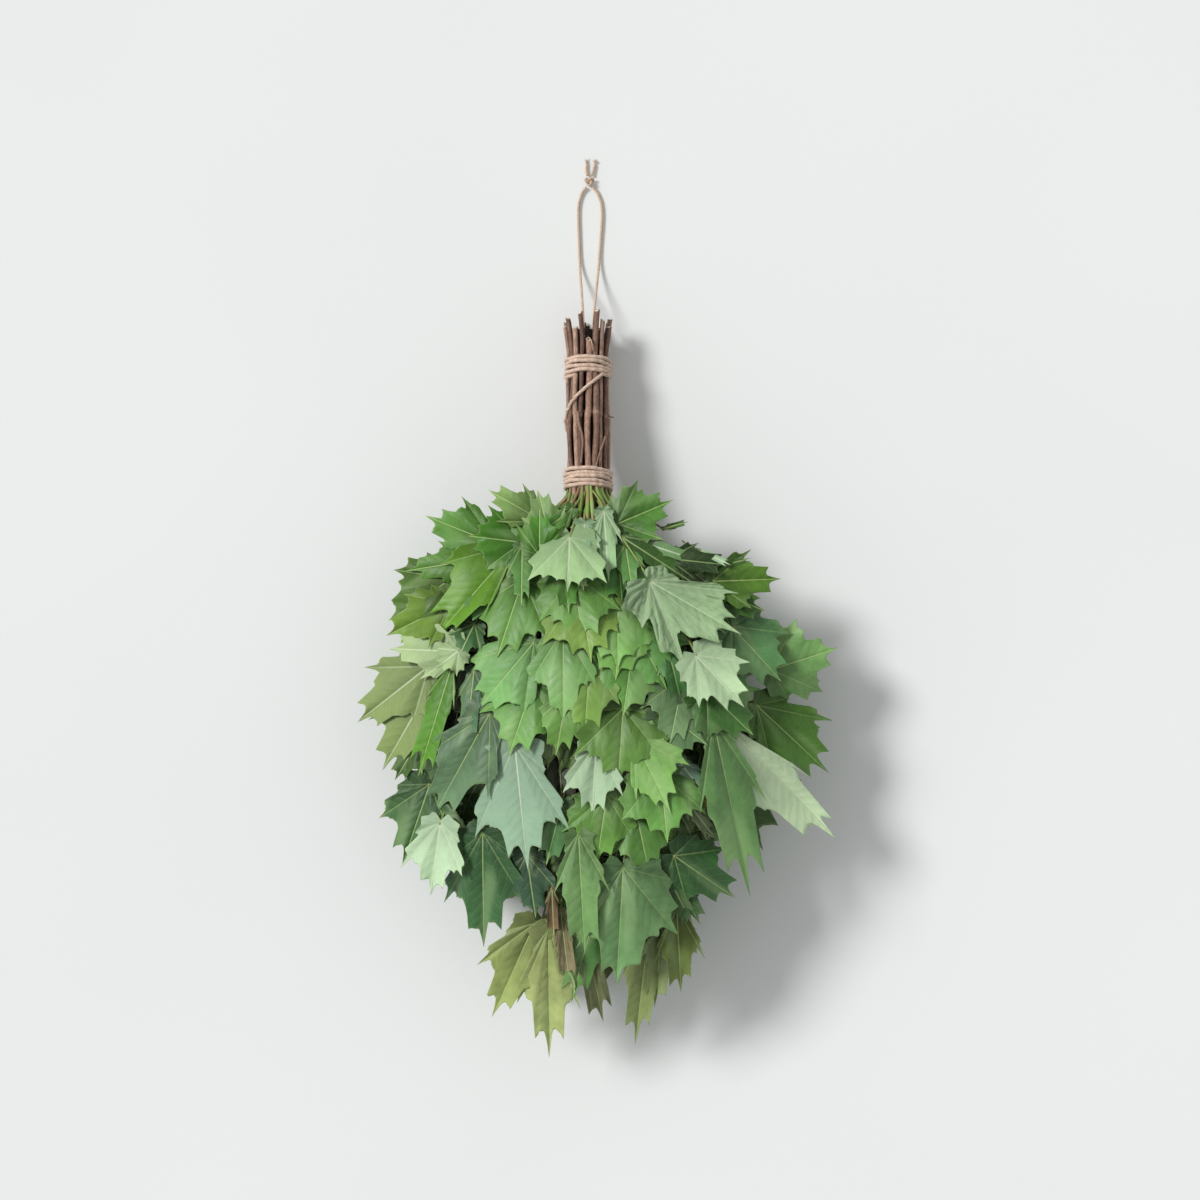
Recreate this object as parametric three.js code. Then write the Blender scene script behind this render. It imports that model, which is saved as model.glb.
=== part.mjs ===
// A leafy whisk: a bundle of maple twigs with their leaves on, tied twice round the
// handle with jute cord, with a twine loop for hanging it up. It lies on its back.
// Millimetres, +Z up, handle towards +Y. The origin is under the middle, on the floor.
import * as THREE from "three";

// ---------------------------------------------------------------- sizes
const HANDLE_X = -9.6; // centre line of the handle
const BUTT_Y = 299; // the longest cut end
const TWIG_END_Y = 118.6; // where the twigs run in among the leaves
const AXIS_BUTT_Z = 20.9;
const AXIS_RISE = 0.2; // rise of the handle towards the leaves, per mm
const TWIGS = 17;
const TWIG_R = 2.55;
const RING_R = 14.4; // circle that the outer twigs' centre lines lie on
const CORE_R = 11.2;
const CORE_BUTT_Y = 288;
const BIND_CLEAR = 17.4; // inside of the bindings, flat to flat
const CORD_R = 1.25;
const UPPER_BINDING = { top: 264.5, turns: 4, pitch: 4.1 };
const LOWER_BINDING = { top: 173.5, turns: 5, pitch: 3.5 };
const TWINE_R = 1.1;
const LEAF_T = 1.0;
const LEVEL_STEP = 3.3;

// The leafy head is a bun: a domed top, and an underside that lies flat on the floor.
const HEAD = { x: 0, y: -60, a: 165, b: 215 };
const INNER_RHO = 0.785;

// ---------------------------------------------------------------- helpers
const group = new THREE.Group();
const BARK = new THREE.MeshStandardMaterial({ color: 0x7c6458, roughness: 0.8 });
const JUTE = new THREE.MeshStandardMaterial({ color: 0xb08e68, roughness: 0.9 });
const TWINE = new THREE.MeshStandardMaterial({ color: 0xd6b694, roughness: 0.9 });
const LEAF = new THREE.MeshStandardMaterial({
  color: 0x5f8a3a,
  roughness: 0.6,
  side: THREE.FrontSide,
});

function add(name, geometry, material) {
  const mesh = new THREE.Mesh(geometry, material);
  mesh.name = name;
  group.add(mesh);
  return mesh;
}

// Closed body from an indexed list of points, turned to face outwards.
function body(points, faces) {
  let volume = 0;
  for (const [a, b, c] of faces) {
    volume += points[a].dot(new THREE.Vector3().crossVectors(points[b], points[c]));
  }
  const flat = [];
  for (const [a, b, c] of faces) {
    for (const i of volume < 0 ? [a, c, b] : [a, b, c]) flat.push(...points[i]);
  }
  const g = new THREE.BufferGeometry();
  g.setAttribute("position", new THREE.Float32BufferAttribute(flat, 3));
  g.computeVertexNormals();
  return g;
}

// Rings of the same number of points, skinned one after another and capped.
function loft(rings) {
  const n = rings[0].length;
  const points = rings.flat();
  const faces = [];
  for (let r = 0; r + 1 < rings.length; r++) {
    for (let i = 0; i < n; i++) {
      const a = r * n + i;
      const b = r * n + ((i + 1) % n);
      faces.push([a, b, b + n], [a, b + n, a + n]);
    }
  }
  const last = (rings.length - 1) * n;
  for (let i = 1; i + 1 < n; i++) {
    faces.push([0, i + 1, i], [last, last + i, last + i + 1]);
  }
  return body(points, faces);
}

// A round section extruded along a smooth curve through the given points.
function tube(points, radius, sides, steps) {
  const path = new THREE.CatmullRomCurve3(
    points.map((p) => new THREE.Vector3(...p)),
    false,
    "centripetal",
  );
  const section = new THREE.Shape(
    Array.from({ length: sides }, (_, i) => {
      const a = ((i + 0.5) * 2 * Math.PI) / sides;
      return new THREE.Vector2(radius * Math.cos(a), radius * Math.sin(a));
    }),
  );
  return new THREE.ExtrudeGeometry(section, {
    steps,
    extrudePath: path,
    bevelEnabled: false,
  });
}

// ---------------------------------------------------------------- handle
const axisZ = (y) => AXIS_BUTT_Z + AXIS_RISE * (BUTT_Y - y);
const tilt = Math.atan(AXIS_RISE);
// A point beside the handle's centre line: `side` to the right, `up` square to the line.
const onHandle = (y, side, up) =>
  new THREE.Vector3(
    HANDLE_X + side,
    y + up * Math.sin(tilt),
    axisZ(y) + up * Math.cos(tilt),
  );
// The bundle splays a little at the cut ends and again below the lower binding.
function splay(y) {
  const butt = Math.max(0, (y - 268) / 31);
  const neck = Math.max(0, (150 - y) / 31);
  return 1 + 0.3 * butt ** 1.2 + 0.16 * neck ** 1.3;
}
const TWIG_STATIONS = [1, 0.84, 0.66, 0.4, 0.18, 0];
// how far each twig's cut end stops short of the longest one, and its slant
const CUT_SHORT = [9, 4, 13, 2, 24, 0, 7, 11, 3, 6, 14, 5, 10, 1, 8, 12, 4];
const CUT_SLANT = [
  0.5, -0.4, 0.2, 0.7, -0.2, 0.35, -0.6, 0.3, 0.15, -0.5, 0.4, 0.25, -0.3, 0.6, -0.15,
  0.45, -0.35,
];
for (let i = 0; i < TWIGS; i++) {
  const around = Math.PI / 2 + ((i - 4) * 2 * Math.PI) / TWIGS;
  const top = BUTT_Y - CUT_SHORT[i];
  const rings = TWIG_STATIONS.map((t, k) => {
    const y = TWIG_END_Y + t * (top - TWIG_END_Y);
    const r = TWIG_R * (0.93 + 0.07 * t);
    return Array.from({ length: 7 }, (_, j) => {
      const a = around + (j * 2 * Math.PI) / 7;
      const u = r * Math.cos(a);
      const w = r * Math.sin(a);
      const slant = k === 0 ? CUT_SLANT[i] * u : 0;
      const ring = RING_R * splay(y);
      return onHandle(y + slant, -ring * Math.cos(around) + u, ring * Math.sin(around) + w);
    });
  });
  add(`twig_${String(i + 1).padStart(2, "0")}`, loft(rings), BARK);
}
add(
  "inner_twigs",
  loft(
    [1, 0.8, 0.45, 0.15, 0].map((t) => {
      const y = TWIG_END_Y + 0.8 + t * (CORE_BUTT_Y - TWIG_END_Y - 0.8);
      return Array.from({ length: 12 }, (_, j) => {
        const a = (j * Math.PI) / 6;
        const r = CORE_R * (j % 2 ? 1 : 0.93);
        return onHandle(y, r * Math.cos(a), r * Math.sin(a));
      });
    }),
  ),
  BARK,
);

// ---------------------------------------------------------------- bindings
function binding(name, { top, turns, pitch }) {
  const segments = 18;
  const inner = BIND_CLEAR / Math.cos(Math.PI / segments);
  const profile = [[inner, 0]];
  for (let i = 0; i < turns; i++) {
    profile.push([inner + 2 * CORD_R * 0.62, -i * pitch - 0.02]);
    profile.push([inner + 2 * CORD_R, -(i + 0.5) * pitch]);
  }
  profile.push([inner + 2 * CORD_R * 0.62, -turns * pitch], [inner, -turns * pitch]);
  const rings = Array.from({ length: segments }, (_, s) => {
    const a = ((s + 0.5) * 2 * Math.PI) / segments;
    return profile.map(([r, dy]) => {
      const p = onHandle(top, r * Math.cos(a), r * Math.sin(a));
      return p.add(new THREE.Vector3(0, dy, -AXIS_RISE * dy).multiplyScalar(Math.cos(tilt)));
    });
  });
  const n = profile.length;
  const points = rings.flat();
  const faces = [];
  for (let s = 0; s < segments; s++) {
    const next = (s + 1) % segments;
    for (let i = 0; i < n; i++) {
      const j = (i + 1) % n;
      faces.push([s * n + i, s * n + j, next * n + j]);
      faces.push([s * n + i, next * n + j, next * n + i]);
    }
  }
  add(name, body(points, faces), JUTE);
}
binding("upper_binding", UPPER_BINDING);
binding("lower_binding", LOWER_BINDING);

// One strand runs from the upper binding across the front, round the left side and
// on under the handle to the lower binding.
const STRAND = { fromY: 245, toY: 176.8, fromTurn: 59, toTurn: 320, steps: 16 };
const strandPoints = Array.from({ length: 18 }, (_, i) => {
  const t = i / 17;
  const a = ((STRAND.fromTurn + t * (STRAND.toTurn - STRAND.fromTurn)) * Math.PI) / 180;
  const r = BIND_CLEAR + 0.25 + CORD_R;
  const y = STRAND.fromY + t * (STRAND.toY - STRAND.fromY);
  return [...onHandle(y, r * Math.cos(a), r * Math.sin(a))];
});
add("crossing_strand", tube(strandPoints, CORD_R, 8, STRAND.steps), JUTE);

// ---------------------------------------------------------------- hanging loop
// Both strands come out of the middle of the cut ends, drop to the floor and lie on it.
const LOOP_LEFT = [
  [-13.6, 289.2, 26.5],
  [-13.7, 294, 25.8],
  [-13.9, 299, 24.6],
  [-14.2, 305, 22],
  [-14.6, 311, 18.6],
  [-15, 318, 14.2],
  [-15.5, 325, 9.8],
  [-16, 332, 6.1],
  [-16.4, 339, 3.4],
  [-16.7, 347, 1.8],
  [-17, 356, 1.3],
  [-17.3, 365, 1.3],
  [-17.7, 376, 1.3],
  [-17.9, 387, 1.3],
  [-16.9, 396, 1.3],
  [-14.2, 403.4, 1.5],
  [-11.2, 407.2, 1.9],
];
const LOOP_RIGHT = [
  [-5.2, 289.2, 26.5],
  [-5.1, 294, 25.9],
  [-4.9, 299, 24.9],
  [-4.5, 305, 22.6],
  [-4, 311, 19.3],
  [-3.4, 318, 15],
  [-2.7, 325, 10.5],
  [-2, 332, 6.6],
  [-1.3, 339, 3.7],
  [-0.7, 347, 1.9],
  [0, 356, 1.3],
  [0.6, 365, 1.3],
  [1.4, 376, 1.3],
  [1.7, 387, 1.3],
  [0.5, 396, 1.3],
  [-2.8, 403.6, 1.5],
  [-6.2, 407.4, 1.9],
];
const TAIL_LEFT = [
  [-10.4, 416.6, 2.2],
  [-11.2, 420.5, 1.5],
  [-11.1, 424.5, 1.3],
  [-10.4, 429, 1.3],
];
const TAIL_RIGHT = [
  [-7, 416.6, 2.2],
  [-5.6, 420.5, 1.5],
  [-4.6, 424.5, 1.3],
  [-3.9, 429.6, 1.3],
];
add("loop_left", tube(LOOP_LEFT, TWINE_R, 8, 20), TWINE);
add("loop_right", tube(LOOP_RIGHT, TWINE_R, 8, 20), TWINE);
add("tail_left", tube(TAIL_LEFT, TWINE_R, 8, 5), TWINE);
add("tail_right", tube(TAIL_RIGHT, TWINE_R, 8, 5), TWINE);
const knot = new THREE.IcosahedronGeometry(1, 1);
knot.scale(4.6, 4.0, 2.7).translate(-8.75, 412, 2.9);
add("loop_knot", knot, TWINE);

// ---------------------------------------------------------------- leaves
// One maple leaf as angle from the middle lobe and distance from where the stalk joins,
// as a share of the middle lobe's length. The other half mirrors it.
const HALF_LEAF = [
  [0, 1],
  [8, 0.72],
  [18, 0.77],
  [27, 0.55],
  [39, 0.71],
  [50, 0.92],
  [62, 0.66],
  [76, 0.5],
  [97, 0.62],
  [128, 0.4],
  [162, 0.22],
];
const MIDDLE_LOBE = 30; // degrees either side of the middle
const BACK_LOBE = 97;
const STALK = 20;
const STALK_HALF = 1.1;

const rho = (x, y) => Math.hypot((x - HEAD.x) / HEAD.a, (y - HEAD.y) / HEAD.b);
const domeZ = (x, y) => 22 + 108 / (1 + (rho(x, y) / 0.92) ** 3.1);
const bowlZ = (x, y) =>
  LEAF_T / 2 + 24 * (Math.max(0, rho(x, y) - 0.45) / 0.55) ** 2;

// Where a point of the edge goes when the side lobes hang in: the middle lobe closes
// less than the others do.
function turnedIn(deg, spread) {
  const middle = MIDDLE_LOBE * (0.3 + 0.7 * spread);
  const back = Math.max(BACK_LOBE * spread, middle + 6);
  if (deg < MIDDLE_LOBE) return (deg / MIDDLE_LOBE) * middle;
  if (deg < BACK_LOBE) {
    return middle + ((deg - MIDDLE_LOBE) / (BACK_LOBE - MIDDLE_LOBE)) * (back - middle);
  }
  return back + ((deg - BACK_LOBE) / (180 - BACK_LOBE)) * (180 - back);
}

function outline(length, side, spread) {
  const right = HALF_LEAF.map(([deg, r]) => {
    const hidden = (1 - spread) * 0.9 * THREE.MathUtils.clamp((deg - 60) / 30, 0, 1);
    const share = (deg > 20 ? side : 1) * (1 - hidden);
    return [THREE.MathUtils.degToRad(turnedIn(deg, spread)), r * length * share];
  });
  const stalk = [Math.PI - Math.atan2(STALK_HALF, STALK), STALK];
  const left = [...right.slice(1), stalk].map(([a, r]) => [-a, r]).reverse();
  return [...right, stalk, ...left];
}

// x, y of the stalk's joint, the turn of the middle lobe from straight down the bundle
// (anticlockwise from above is positive), the middle lobe's length, and how long the side
// lobes are and how far they stand off, which is less on a leaf that hangs or curls in.
function leafPlan({ x, y, turn, length, side, spread }) {
  const heading = ((turn - 90) * Math.PI) / 180;
  return outline(length, side, spread).map(([a, r]) => [
    x + r * Math.cos(heading - a),
    y + r * Math.sin(heading - a),
  ]);
}

function covers(leaf, plan, [px, py]) {
  let inside = false;
  for (let i = 0, j = plan.length - 1; i < plan.length; j = i++) {
    const [xi, yi] = plan[i];
    const [xj, yj] = plan[j];
    if (yi > py !== yj > py && px < ((xj - xi) * (py - yi)) / (yj - yi) + xi) {
      inside = !inside;
    }
  }
  return inside;
}

const crosses = (a, b, c, d) => {
  const side = (p, q, r) => (q[0] - p[0]) * (r[1] - p[1]) - (q[1] - p[1]) * (r[0] - p[0]);
  return side(a, b, c) * side(a, b, d) < 0 && side(c, d, a) * side(c, d, b) < 0;
};

function overlap(a, b) {
  if (covers(a, a.plan, b.plan[0]) || covers(b, b.plan, a.plan[0])) return true;
  return a.plan.some((p, i) =>
    b.plan.some((q, j) =>
      crosses(p, a.plan[(i + 1) % a.plan.length], q, b.plan[(j + 1) % b.plan.length]),
    ),
  );
}

function leafSolid(leaf, surface) {
  const { x, y, plan, lift } = leaf;
  const n = plan.length;
  const layer = (dz) => {
    const at = (px, py) =>
      new THREE.Vector3(px, py, surface(px, py) + lift + dz);
    const middle = plan.map(([px, py]) => at(x + (px - x) * 0.5, y + (py - y) * 0.5));
    return [at(x, y), ...middle, ...plan.map(([px, py]) => at(px, py))];
  };
  const points = [...layer(LEAF_T / 2), ...layer(-LEAF_T / 2)];
  const under = 2 * n + 1;
  const faces = [];
  for (let i = 0; i < n; i++) {
    const j = (i + 1) % n;
    const [m0, m1, o0, o1] = [1 + i, 1 + j, 1 + n + i, 1 + n + j];
    faces.push([0, m0, m1], [m0, o0, o1], [m0, o1, m1]);
    faces.push([under, under + m1, under + m0]);
    faces.push([under + m0, under + o1, under + o0], [under + m0, under + m1, under + o1]);
    faces.push([o0, under + o0, under + o1], [o0, under + o1, o1]);
  }
  return body(points, faces);
}

// Each leaf lies over the ones before it that it covers.
function lay(leaves, surface) {
  const done = [];
  for (const [name, x, y, turn, length, side, spread] of leaves) {
    const leaf = { name, x, y, turn, length, side, spread };
    leaf.plan = leafPlan(leaf);
    const below = done.filter((other) => overlap(leaf, other));
    leaf.level = below.length ? 1 + Math.max(...below.map((o) => o.level)) : 0;
    leaf.lift = leaf.level * LEVEL_STEP;
    done.push(leaf);
    add(`leaf_${name}`, leafSolid(leaf, surface), LEAF);
  }
  return done;
}

const TOP_LEAVES = [
  ["tip_middle", -41, -194, 0, 108, 0.6, 0.3],
  ["tip_right", 39, -189, -6, 103, 0.6, 0.35],
  ["tip_far_right", 61, -177, 3, 71, 0.7, 0.45],
  ["dark_right", 58, -134, 54, 62, 0.75, 0.8],
  ["tip_left", -93, -117, 0, 94, 0.8, 0.55],
  ["low_middle", 18, -143, -3, 96, 0.8, 0.7],
  ["low_left", -127, -110, -8, 60, 0.85, 0.6],
  ["edge_left_low", -138, -6, -30, 75, 0.75, 0.6],
  ["edge_left", -137, 14, -52, 74, 0.75, 0.7],
  ["edge_right_low", 125, -17, 47, 83, 0.8, 0.6],
  ["edge_right", 137, 11, 108, 57, 0.9, 0.85],
  ["edge_right_high", 105, 46, 42, 60, 0.85, 0.85],
  ["pale_right", 100, -32, 43, 139, 0.6, 0.32],
  ["long_right", 89, -28, 12, 145, 0.62, 0.32],
  ["pale_back", -67, -47, 6, 101, 0.86, 0.5],
  ["bright_right", 26, -40, 26, 68, 0.8, 0.75],
  ["side_right", 90, 82, 92, 55, 0.75, 0.75],
  ["bright_left", -117, 18, -17, 97, 0.4, 0.3],
  ["large_left", -52, 34, -40, 73, 0.9, 0.62],
  ["large_middle", -29, 44, 0, 75, 0.8, 0.6],
  ["crinkled_right", 39, 82, 60, 86, 0.95, 0.75],
  ["shoulder_top", -84, 112, -112, 62, 0.8, 0.6],
  ["shoulder_left", -96, 100, -81, 61, 0.7, 0.6],
  ["sweep_left", -66, 112, -41, 101, 0.7, 0.55],
  ["neck_left", -46, 130, -120, 51, 0.75, 0.6],
  ["neck_right", 14, 128, 113, 49, 0.85, 0.8],
  ["neck_top", 3, 139, 4, 58, 0.55, 0.5],
];
const FLOOR_LEAVES = [
  ["floor_low", 4, -120, 4, 104, 0.9, 0.85],
  ["floor_middle", -4, 14, -3, 104, 0.9, 0.85],
  ["floor_low_left", -84, -52, -28, 100, 0.9, 0.8],
  ["floor_low_right", 84, -52, 30, 100, 0.9, 0.8],
  ["floor_left", -62, 76, -40, 92, 0.85, 0.8],
  ["floor_right", 52, 76, 42, 92, 0.85, 0.8],
];
const top = lay(TOP_LEAVES, domeZ);
const floorLeaves = lay(FLOOR_LEAVES, bowlZ);

// The inner leaves and the twigs' thin ends fill the bun between the two leafy skins.
const CLEAR_TOP = 4.5;
const CLEAR_BOTTOM = 3.5 + LEVEL_STEP * Math.max(...floorLeaves.map((l) => l.level));
const SEGMENTS = 20;
const RHOS = [0.26, 0.5, 0.68, INNER_RHO];
const SIDE_RHO = 0.9;
const TWIGS_ENTER_Y = HEAD.y + INNER_RHO * HEAD.b;
const aroundHead = (q) =>
  Array.from({ length: SEGMENTS }, (_, s) => {
    const a = (s * 2 * Math.PI) / SEGMENTS;
    const py = HEAD.y + q * HEAD.b * Math.sin(a);
    return [HEAD.x + q * HEAD.a * Math.cos(a), Math.min(py, TWIGS_ENTER_Y)];
  });
const highest = (x, y) => domeZ(x, y) - CLEAR_TOP;
const lowest = (x, y) => bowlZ(x, y) + CLEAR_BOTTOM;
const ringOf = (q, z) => aroundHead(q).map(([x, y]) => new THREE.Vector3(x, y, z(x, y)));
const innerRings = [
  ...RHOS.map((q) => ringOf(q, highest)),
  ringOf(SIDE_RHO, (x, y) => (highest(x, y) + lowest(x, y)) / 2),
  ...RHOS.toReversed().map((q) => ringOf(q, lowest)),
];
const innerPoints = [
  new THREE.Vector3(HEAD.x, HEAD.y, highest(HEAD.x, HEAD.y)),
  ...innerRings.flat(),
  new THREE.Vector3(HEAD.x, HEAD.y, lowest(HEAD.x, HEAD.y)),
];
const innerFaces = [];
const bottomPoint = innerPoints.length - 1;
const lastRing = bottomPoint - SEGMENTS;
for (let s = 0; s < SEGMENTS; s++) {
  const t = (s + 1) % SEGMENTS;
  innerFaces.push([0, 1 + s, 1 + t], [bottomPoint, lastRing + t, lastRing + s]);
  for (let k = 0; k + 1 < innerRings.length; k++) {
    const a = 1 + k * SEGMENTS + s;
    const b = 1 + k * SEGMENTS + t;
    innerFaces.push([a, a + SEGMENTS, b + SEGMENTS], [a, b + SEGMENTS, b]);
  }
}
add("inner_leaves", body(innerPoints, innerFaces), LEAF);

export default group;
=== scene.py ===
"""A leafy whisk of maple twigs, lying on its back on a pale floor.

Seventeen twigs round a core of thinner ones make the handle, two windings of jute cord
tie it, a twine loop hangs from its cut ends, and some five hundred leaves make the head.
Shapes are worked out in millimetres; piece() turns them to metres.
"""

import math

import bpy
import numpy as np
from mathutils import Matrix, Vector


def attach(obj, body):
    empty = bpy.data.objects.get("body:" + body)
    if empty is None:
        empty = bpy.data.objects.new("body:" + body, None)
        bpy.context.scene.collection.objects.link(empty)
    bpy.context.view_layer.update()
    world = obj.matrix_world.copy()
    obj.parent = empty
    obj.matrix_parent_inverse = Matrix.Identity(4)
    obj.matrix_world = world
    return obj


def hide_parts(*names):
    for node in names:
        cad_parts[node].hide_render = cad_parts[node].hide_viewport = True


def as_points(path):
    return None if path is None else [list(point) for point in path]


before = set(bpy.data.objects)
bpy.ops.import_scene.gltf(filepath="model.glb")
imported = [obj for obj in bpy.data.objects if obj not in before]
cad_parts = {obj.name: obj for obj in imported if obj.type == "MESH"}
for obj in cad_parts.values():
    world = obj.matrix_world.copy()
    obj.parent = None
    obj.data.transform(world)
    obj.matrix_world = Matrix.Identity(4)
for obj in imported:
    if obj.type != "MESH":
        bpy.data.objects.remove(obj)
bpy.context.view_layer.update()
MM = 0.001
rng = np.random.default_rng(11)


# ---------------------------------------------------------------- camera
CAMERA_UP = 2.68  # metres above the floor, looking straight down
VIEW_MIDDLE = (0.0, 0.067)
FOCAL_LENGTH, SENSOR_WIDTH = 97.5, 36  # mm
lens = bpy.data.cameras.new("camera")
lens.lens = FOCAL_LENGTH
lens.sensor_width = SENSOR_WIDTH
camera = bpy.data.objects.new("camera", lens)
camera.location = (*VIEW_MIDDLE, CAMERA_UP)
bpy.context.scene.collection.objects.link(camera)
bpy.context.scene.camera = camera


# ---------------------------------------------------------------- colour and nodes
def linear(code):
    """An sRGB hex colour as linear red, green and blue, and 1."""
    parts = [int(code[i : i + 2], 16) / 255 for i in (1, 3, 5)]
    return tuple(
        p / 12.92 if p <= 0.04045 else ((p + 0.055) / 1.055) ** 2.4 for p in parts
    ) + (1.0,)


def put(tree, kind, inputs=(), out=0, stops=(), **settings):
    """Add a node with its settings, values and links, and return one of its outputs.

    inputs lists the first inputs in order, or gives some by number or name. A stop of a
    colour ramp is its place and a hex colour or a grey level.
    """
    made = tree.nodes.new(kind)
    for key, value in settings.items():
        setattr(made, key, value)
    for key, value in inputs.items() if isinstance(inputs, dict) else enumerate(inputs):
        if isinstance(value, bpy.types.NodeSocket):
            tree.links.new(value, made.inputs[key])
        else:
            made.inputs[key].default_value = value
    for i, (place, colour) in enumerate(stops):
        marks = made.color_ramp.elements
        mark = marks[i] if i < 2 else marks.new(place)
        mark.position = place
        mark.color = linear(colour) if isinstance(colour, str) else (colour,) * 3 + (1,)
    return made.outputs[out]


# Settings that several nodes share.
SMOOTH = {"interpolation_type": "SMOOTHSTEP"}
TIMES = {"operation": "MULTIPLY"}
TIMES_PLUS = {"operation": "MULTIPLY_ADD"}
BLEND = {"out": 2, "data_type": "RGBA"}
TINT = {**BLEND, "blend_type": "MULTIPLY"}


def fresh(name):
    """A new material, its node tree and the shader it ends in."""
    made = bpy.data.materials.new(name)
    made.use_nodes = True
    return made, made.node_tree, made.node_tree.nodes["Principled BSDF"]


# ---------------------------------------------------------------- leaf materials
VEIN_GAP = 8.5  # mm between the side veins along a main vein
VEIN_SLANT = 0.95  # mm that a side vein runs forward for each mm outwards
VEIN_REACH = 85.0  # mm from the joint to where a main vein has thinned out
NET = 1.7  # mm across the fine net between the veins, coarser than life so that it shows


def maple_leaf(name, underside):
    """Living maple leaf, one side of it.

    The upper side has a thin skin of wax: a satin sheen, partly painted as long pale
    bands of colour, over mottled green, with the veins sunk as fine pale lines. The
    underside has none: it is matt, paler and greyer, and its veins stand proud and almost white.
    """
    made, tree, shader = fresh(name)
    split = put(tree, "ShaderNodeUVMap", uv_map="veins")
    along = put(tree, "ShaderNodeSeparateXYZ", [split], out=0)
    outward = put(tree, "ShaderNodeSeparateXYZ", [split], out=1)
    blade = put(tree, "ShaderNodeUVMap", uv_map="blade")
    shade = put(tree, "ShaderNodeVertexColor", layer_name="shade")
    strength = put(tree, "ShaderNodeVertexColor", layer_name="shade", out=1)

    # main veins, finer towards the tips of the lobes
    widest = 0.55 if underside else 0.45
    half_width = put(tree, "ShaderNodeMapRange", [along, 0.0, VEIN_REACH, widest, 0.12])
    beyond = put(tree, "ShaderNodeMath", [outward, half_width], operation="SUBTRACT")
    main = put(tree, "ShaderNodeMapRange", [beyond, 0.0, 0.4, 1.0, 0.0], **SMOOTH)
    main = put(tree, "ShaderNodeMath", [main, strength], **TIMES)

    # side veins, forward and out from the main ones, the rise between them, and the net
    wander = put(tree, "ShaderNodeTexNoise", {"Vector": blade, "Scale": 0.09, "Detail": 1.0})
    bent = put(tree, "ShaderNodeMath", [wander, 7.0, along], **TIMES_PLUS)
    slanted = put(tree, "ShaderNodeMath", [outward, -VEIN_SLANT, bent], **TIMES_PLUS)
    off_vein = put(tree, "ShaderNodeMath", [slanted, VEIN_GAP / 2], operation="PINGPONG")
    side = put(tree, "ShaderNodeMapRange", [off_vein, 0.12, 0.5, 1.0, 0.0], **SMOOTH)
    quilt = put(tree, "ShaderNodeMapRange", [off_vein, 0.0, VEIN_GAP / 2, 0.0, 1.0], **SMOOTH)
    net_at = {"Vector": blade, "Scale": 1 / NET}
    cells = put(tree, "ShaderNodeTexVoronoi", net_at, feature="DISTANCE_TO_EDGE")
    net = put(tree, "ShaderNodeMapRange", [cells, 0.02, 0.13, 1.0, 0.0], **SMOOTH)

    # colour: the mottled blade, then the net, the side veins and the main veins over it
    blotched = {"Vector": blade, "Scale": 0.06, "Detail": 5.0, "Roughness": 0.62}
    patches = put(tree, "ShaderNodeTexNoise", blotched)
    flecked = {"Vector": blade, "Scale": 0.9, "Detail": 3.0, "Roughness": 0.7}
    specks = put(tree, "ShaderNodeTexNoise", flecked)
    broad_stops = [(0.33, 0.84 if underside else 0.7), (0.68, 1.0)]
    broad = put(tree, "ShaderNodeValToRGB", [patches], stops=broad_stops)
    fine = put(tree, "ShaderNodeValToRGB", [specks], stops=[(0.32, 0.86), (0.68, 1.0)])
    colour = shade
    for mottle in (broad, fine):
        colour = put(tree, "ShaderNodeMix", {0: 1.0, 6: colour, 7: mottle}, **TINT)
    if underside:
        colour = put(tree, "ShaderNodeMix", {0: 0.18, 6: colour, 7: linear("#a9bfa8")}, **BLEND)
        vein_colour, amounts = "#d6e2c0", (0.03, 0.11, 0.6)
    else:
        # painted sheen: long soft pale bands of colour where the waxy skin catches the light
        lengthways = put(tree, "ShaderNodeMapping", {"Vector": blade, "Scale": (0.014, 0.05, 1)})
        bands = put(tree, "ShaderNodeTexNoise", {"Vector": lengthways, "Scale": 1.0, "Detail": 1.0})
        painted_sheen = put(tree, "ShaderNodeMapRange", [bands, 0.5, 0.68, 0.0, 0.22], **SMOOTH)
        colour = put(tree, "ShaderNodeMix", {0: painted_sheen, 6: colour, 7: linear("#b4d094")}, **BLEND)
        vein_colour, amounts = "#bcd48c", (0.02, 0.07, 0.5)
    for mask, amount in zip((net, side, main), amounts):
        share = put(tree, "ShaderNodeMath", [mask, amount], **TIMES)
        colour = put(tree, "ShaderNodeMix", {0: share, 6: colour, 7: linear(vein_colour)}, **BLEND)
    tree.links.new(colour, shader.inputs["Base Color"])

    # relief in mm: the blade bulges between its veins
    proud = 1.0 if underside else -1.0
    height = put(tree, "ShaderNodeMath", [specks, 0.1], **TIMES)
    for mask, amount in ((main, 0.5), (side, 0.12), (quilt, -0.2), (net, 0.04)):
        height = put(tree, "ShaderNodeMath", [mask, amount * proud, height], **TIMES_PLUS)
    bump = put(tree, "ShaderNodeBump", {"Strength": 0.75, "Distance": MM, "Height": height})
    tree.links.new(bump, shader.inputs["Normal"])
    glossy, matt = (0.56, 0.72) if underside else (0.34, 0.52)
    rough = put(tree, "ShaderNodeMapRange", [patches, 0.3, 0.7, glossy, matt])
    tree.links.new(rough, shader.inputs["Roughness"])
    shader.inputs["IOR"].default_value = 1.42
    shader.inputs["Specular IOR Level"].default_value = 0.3 if underside else 0.43
    return made


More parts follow.
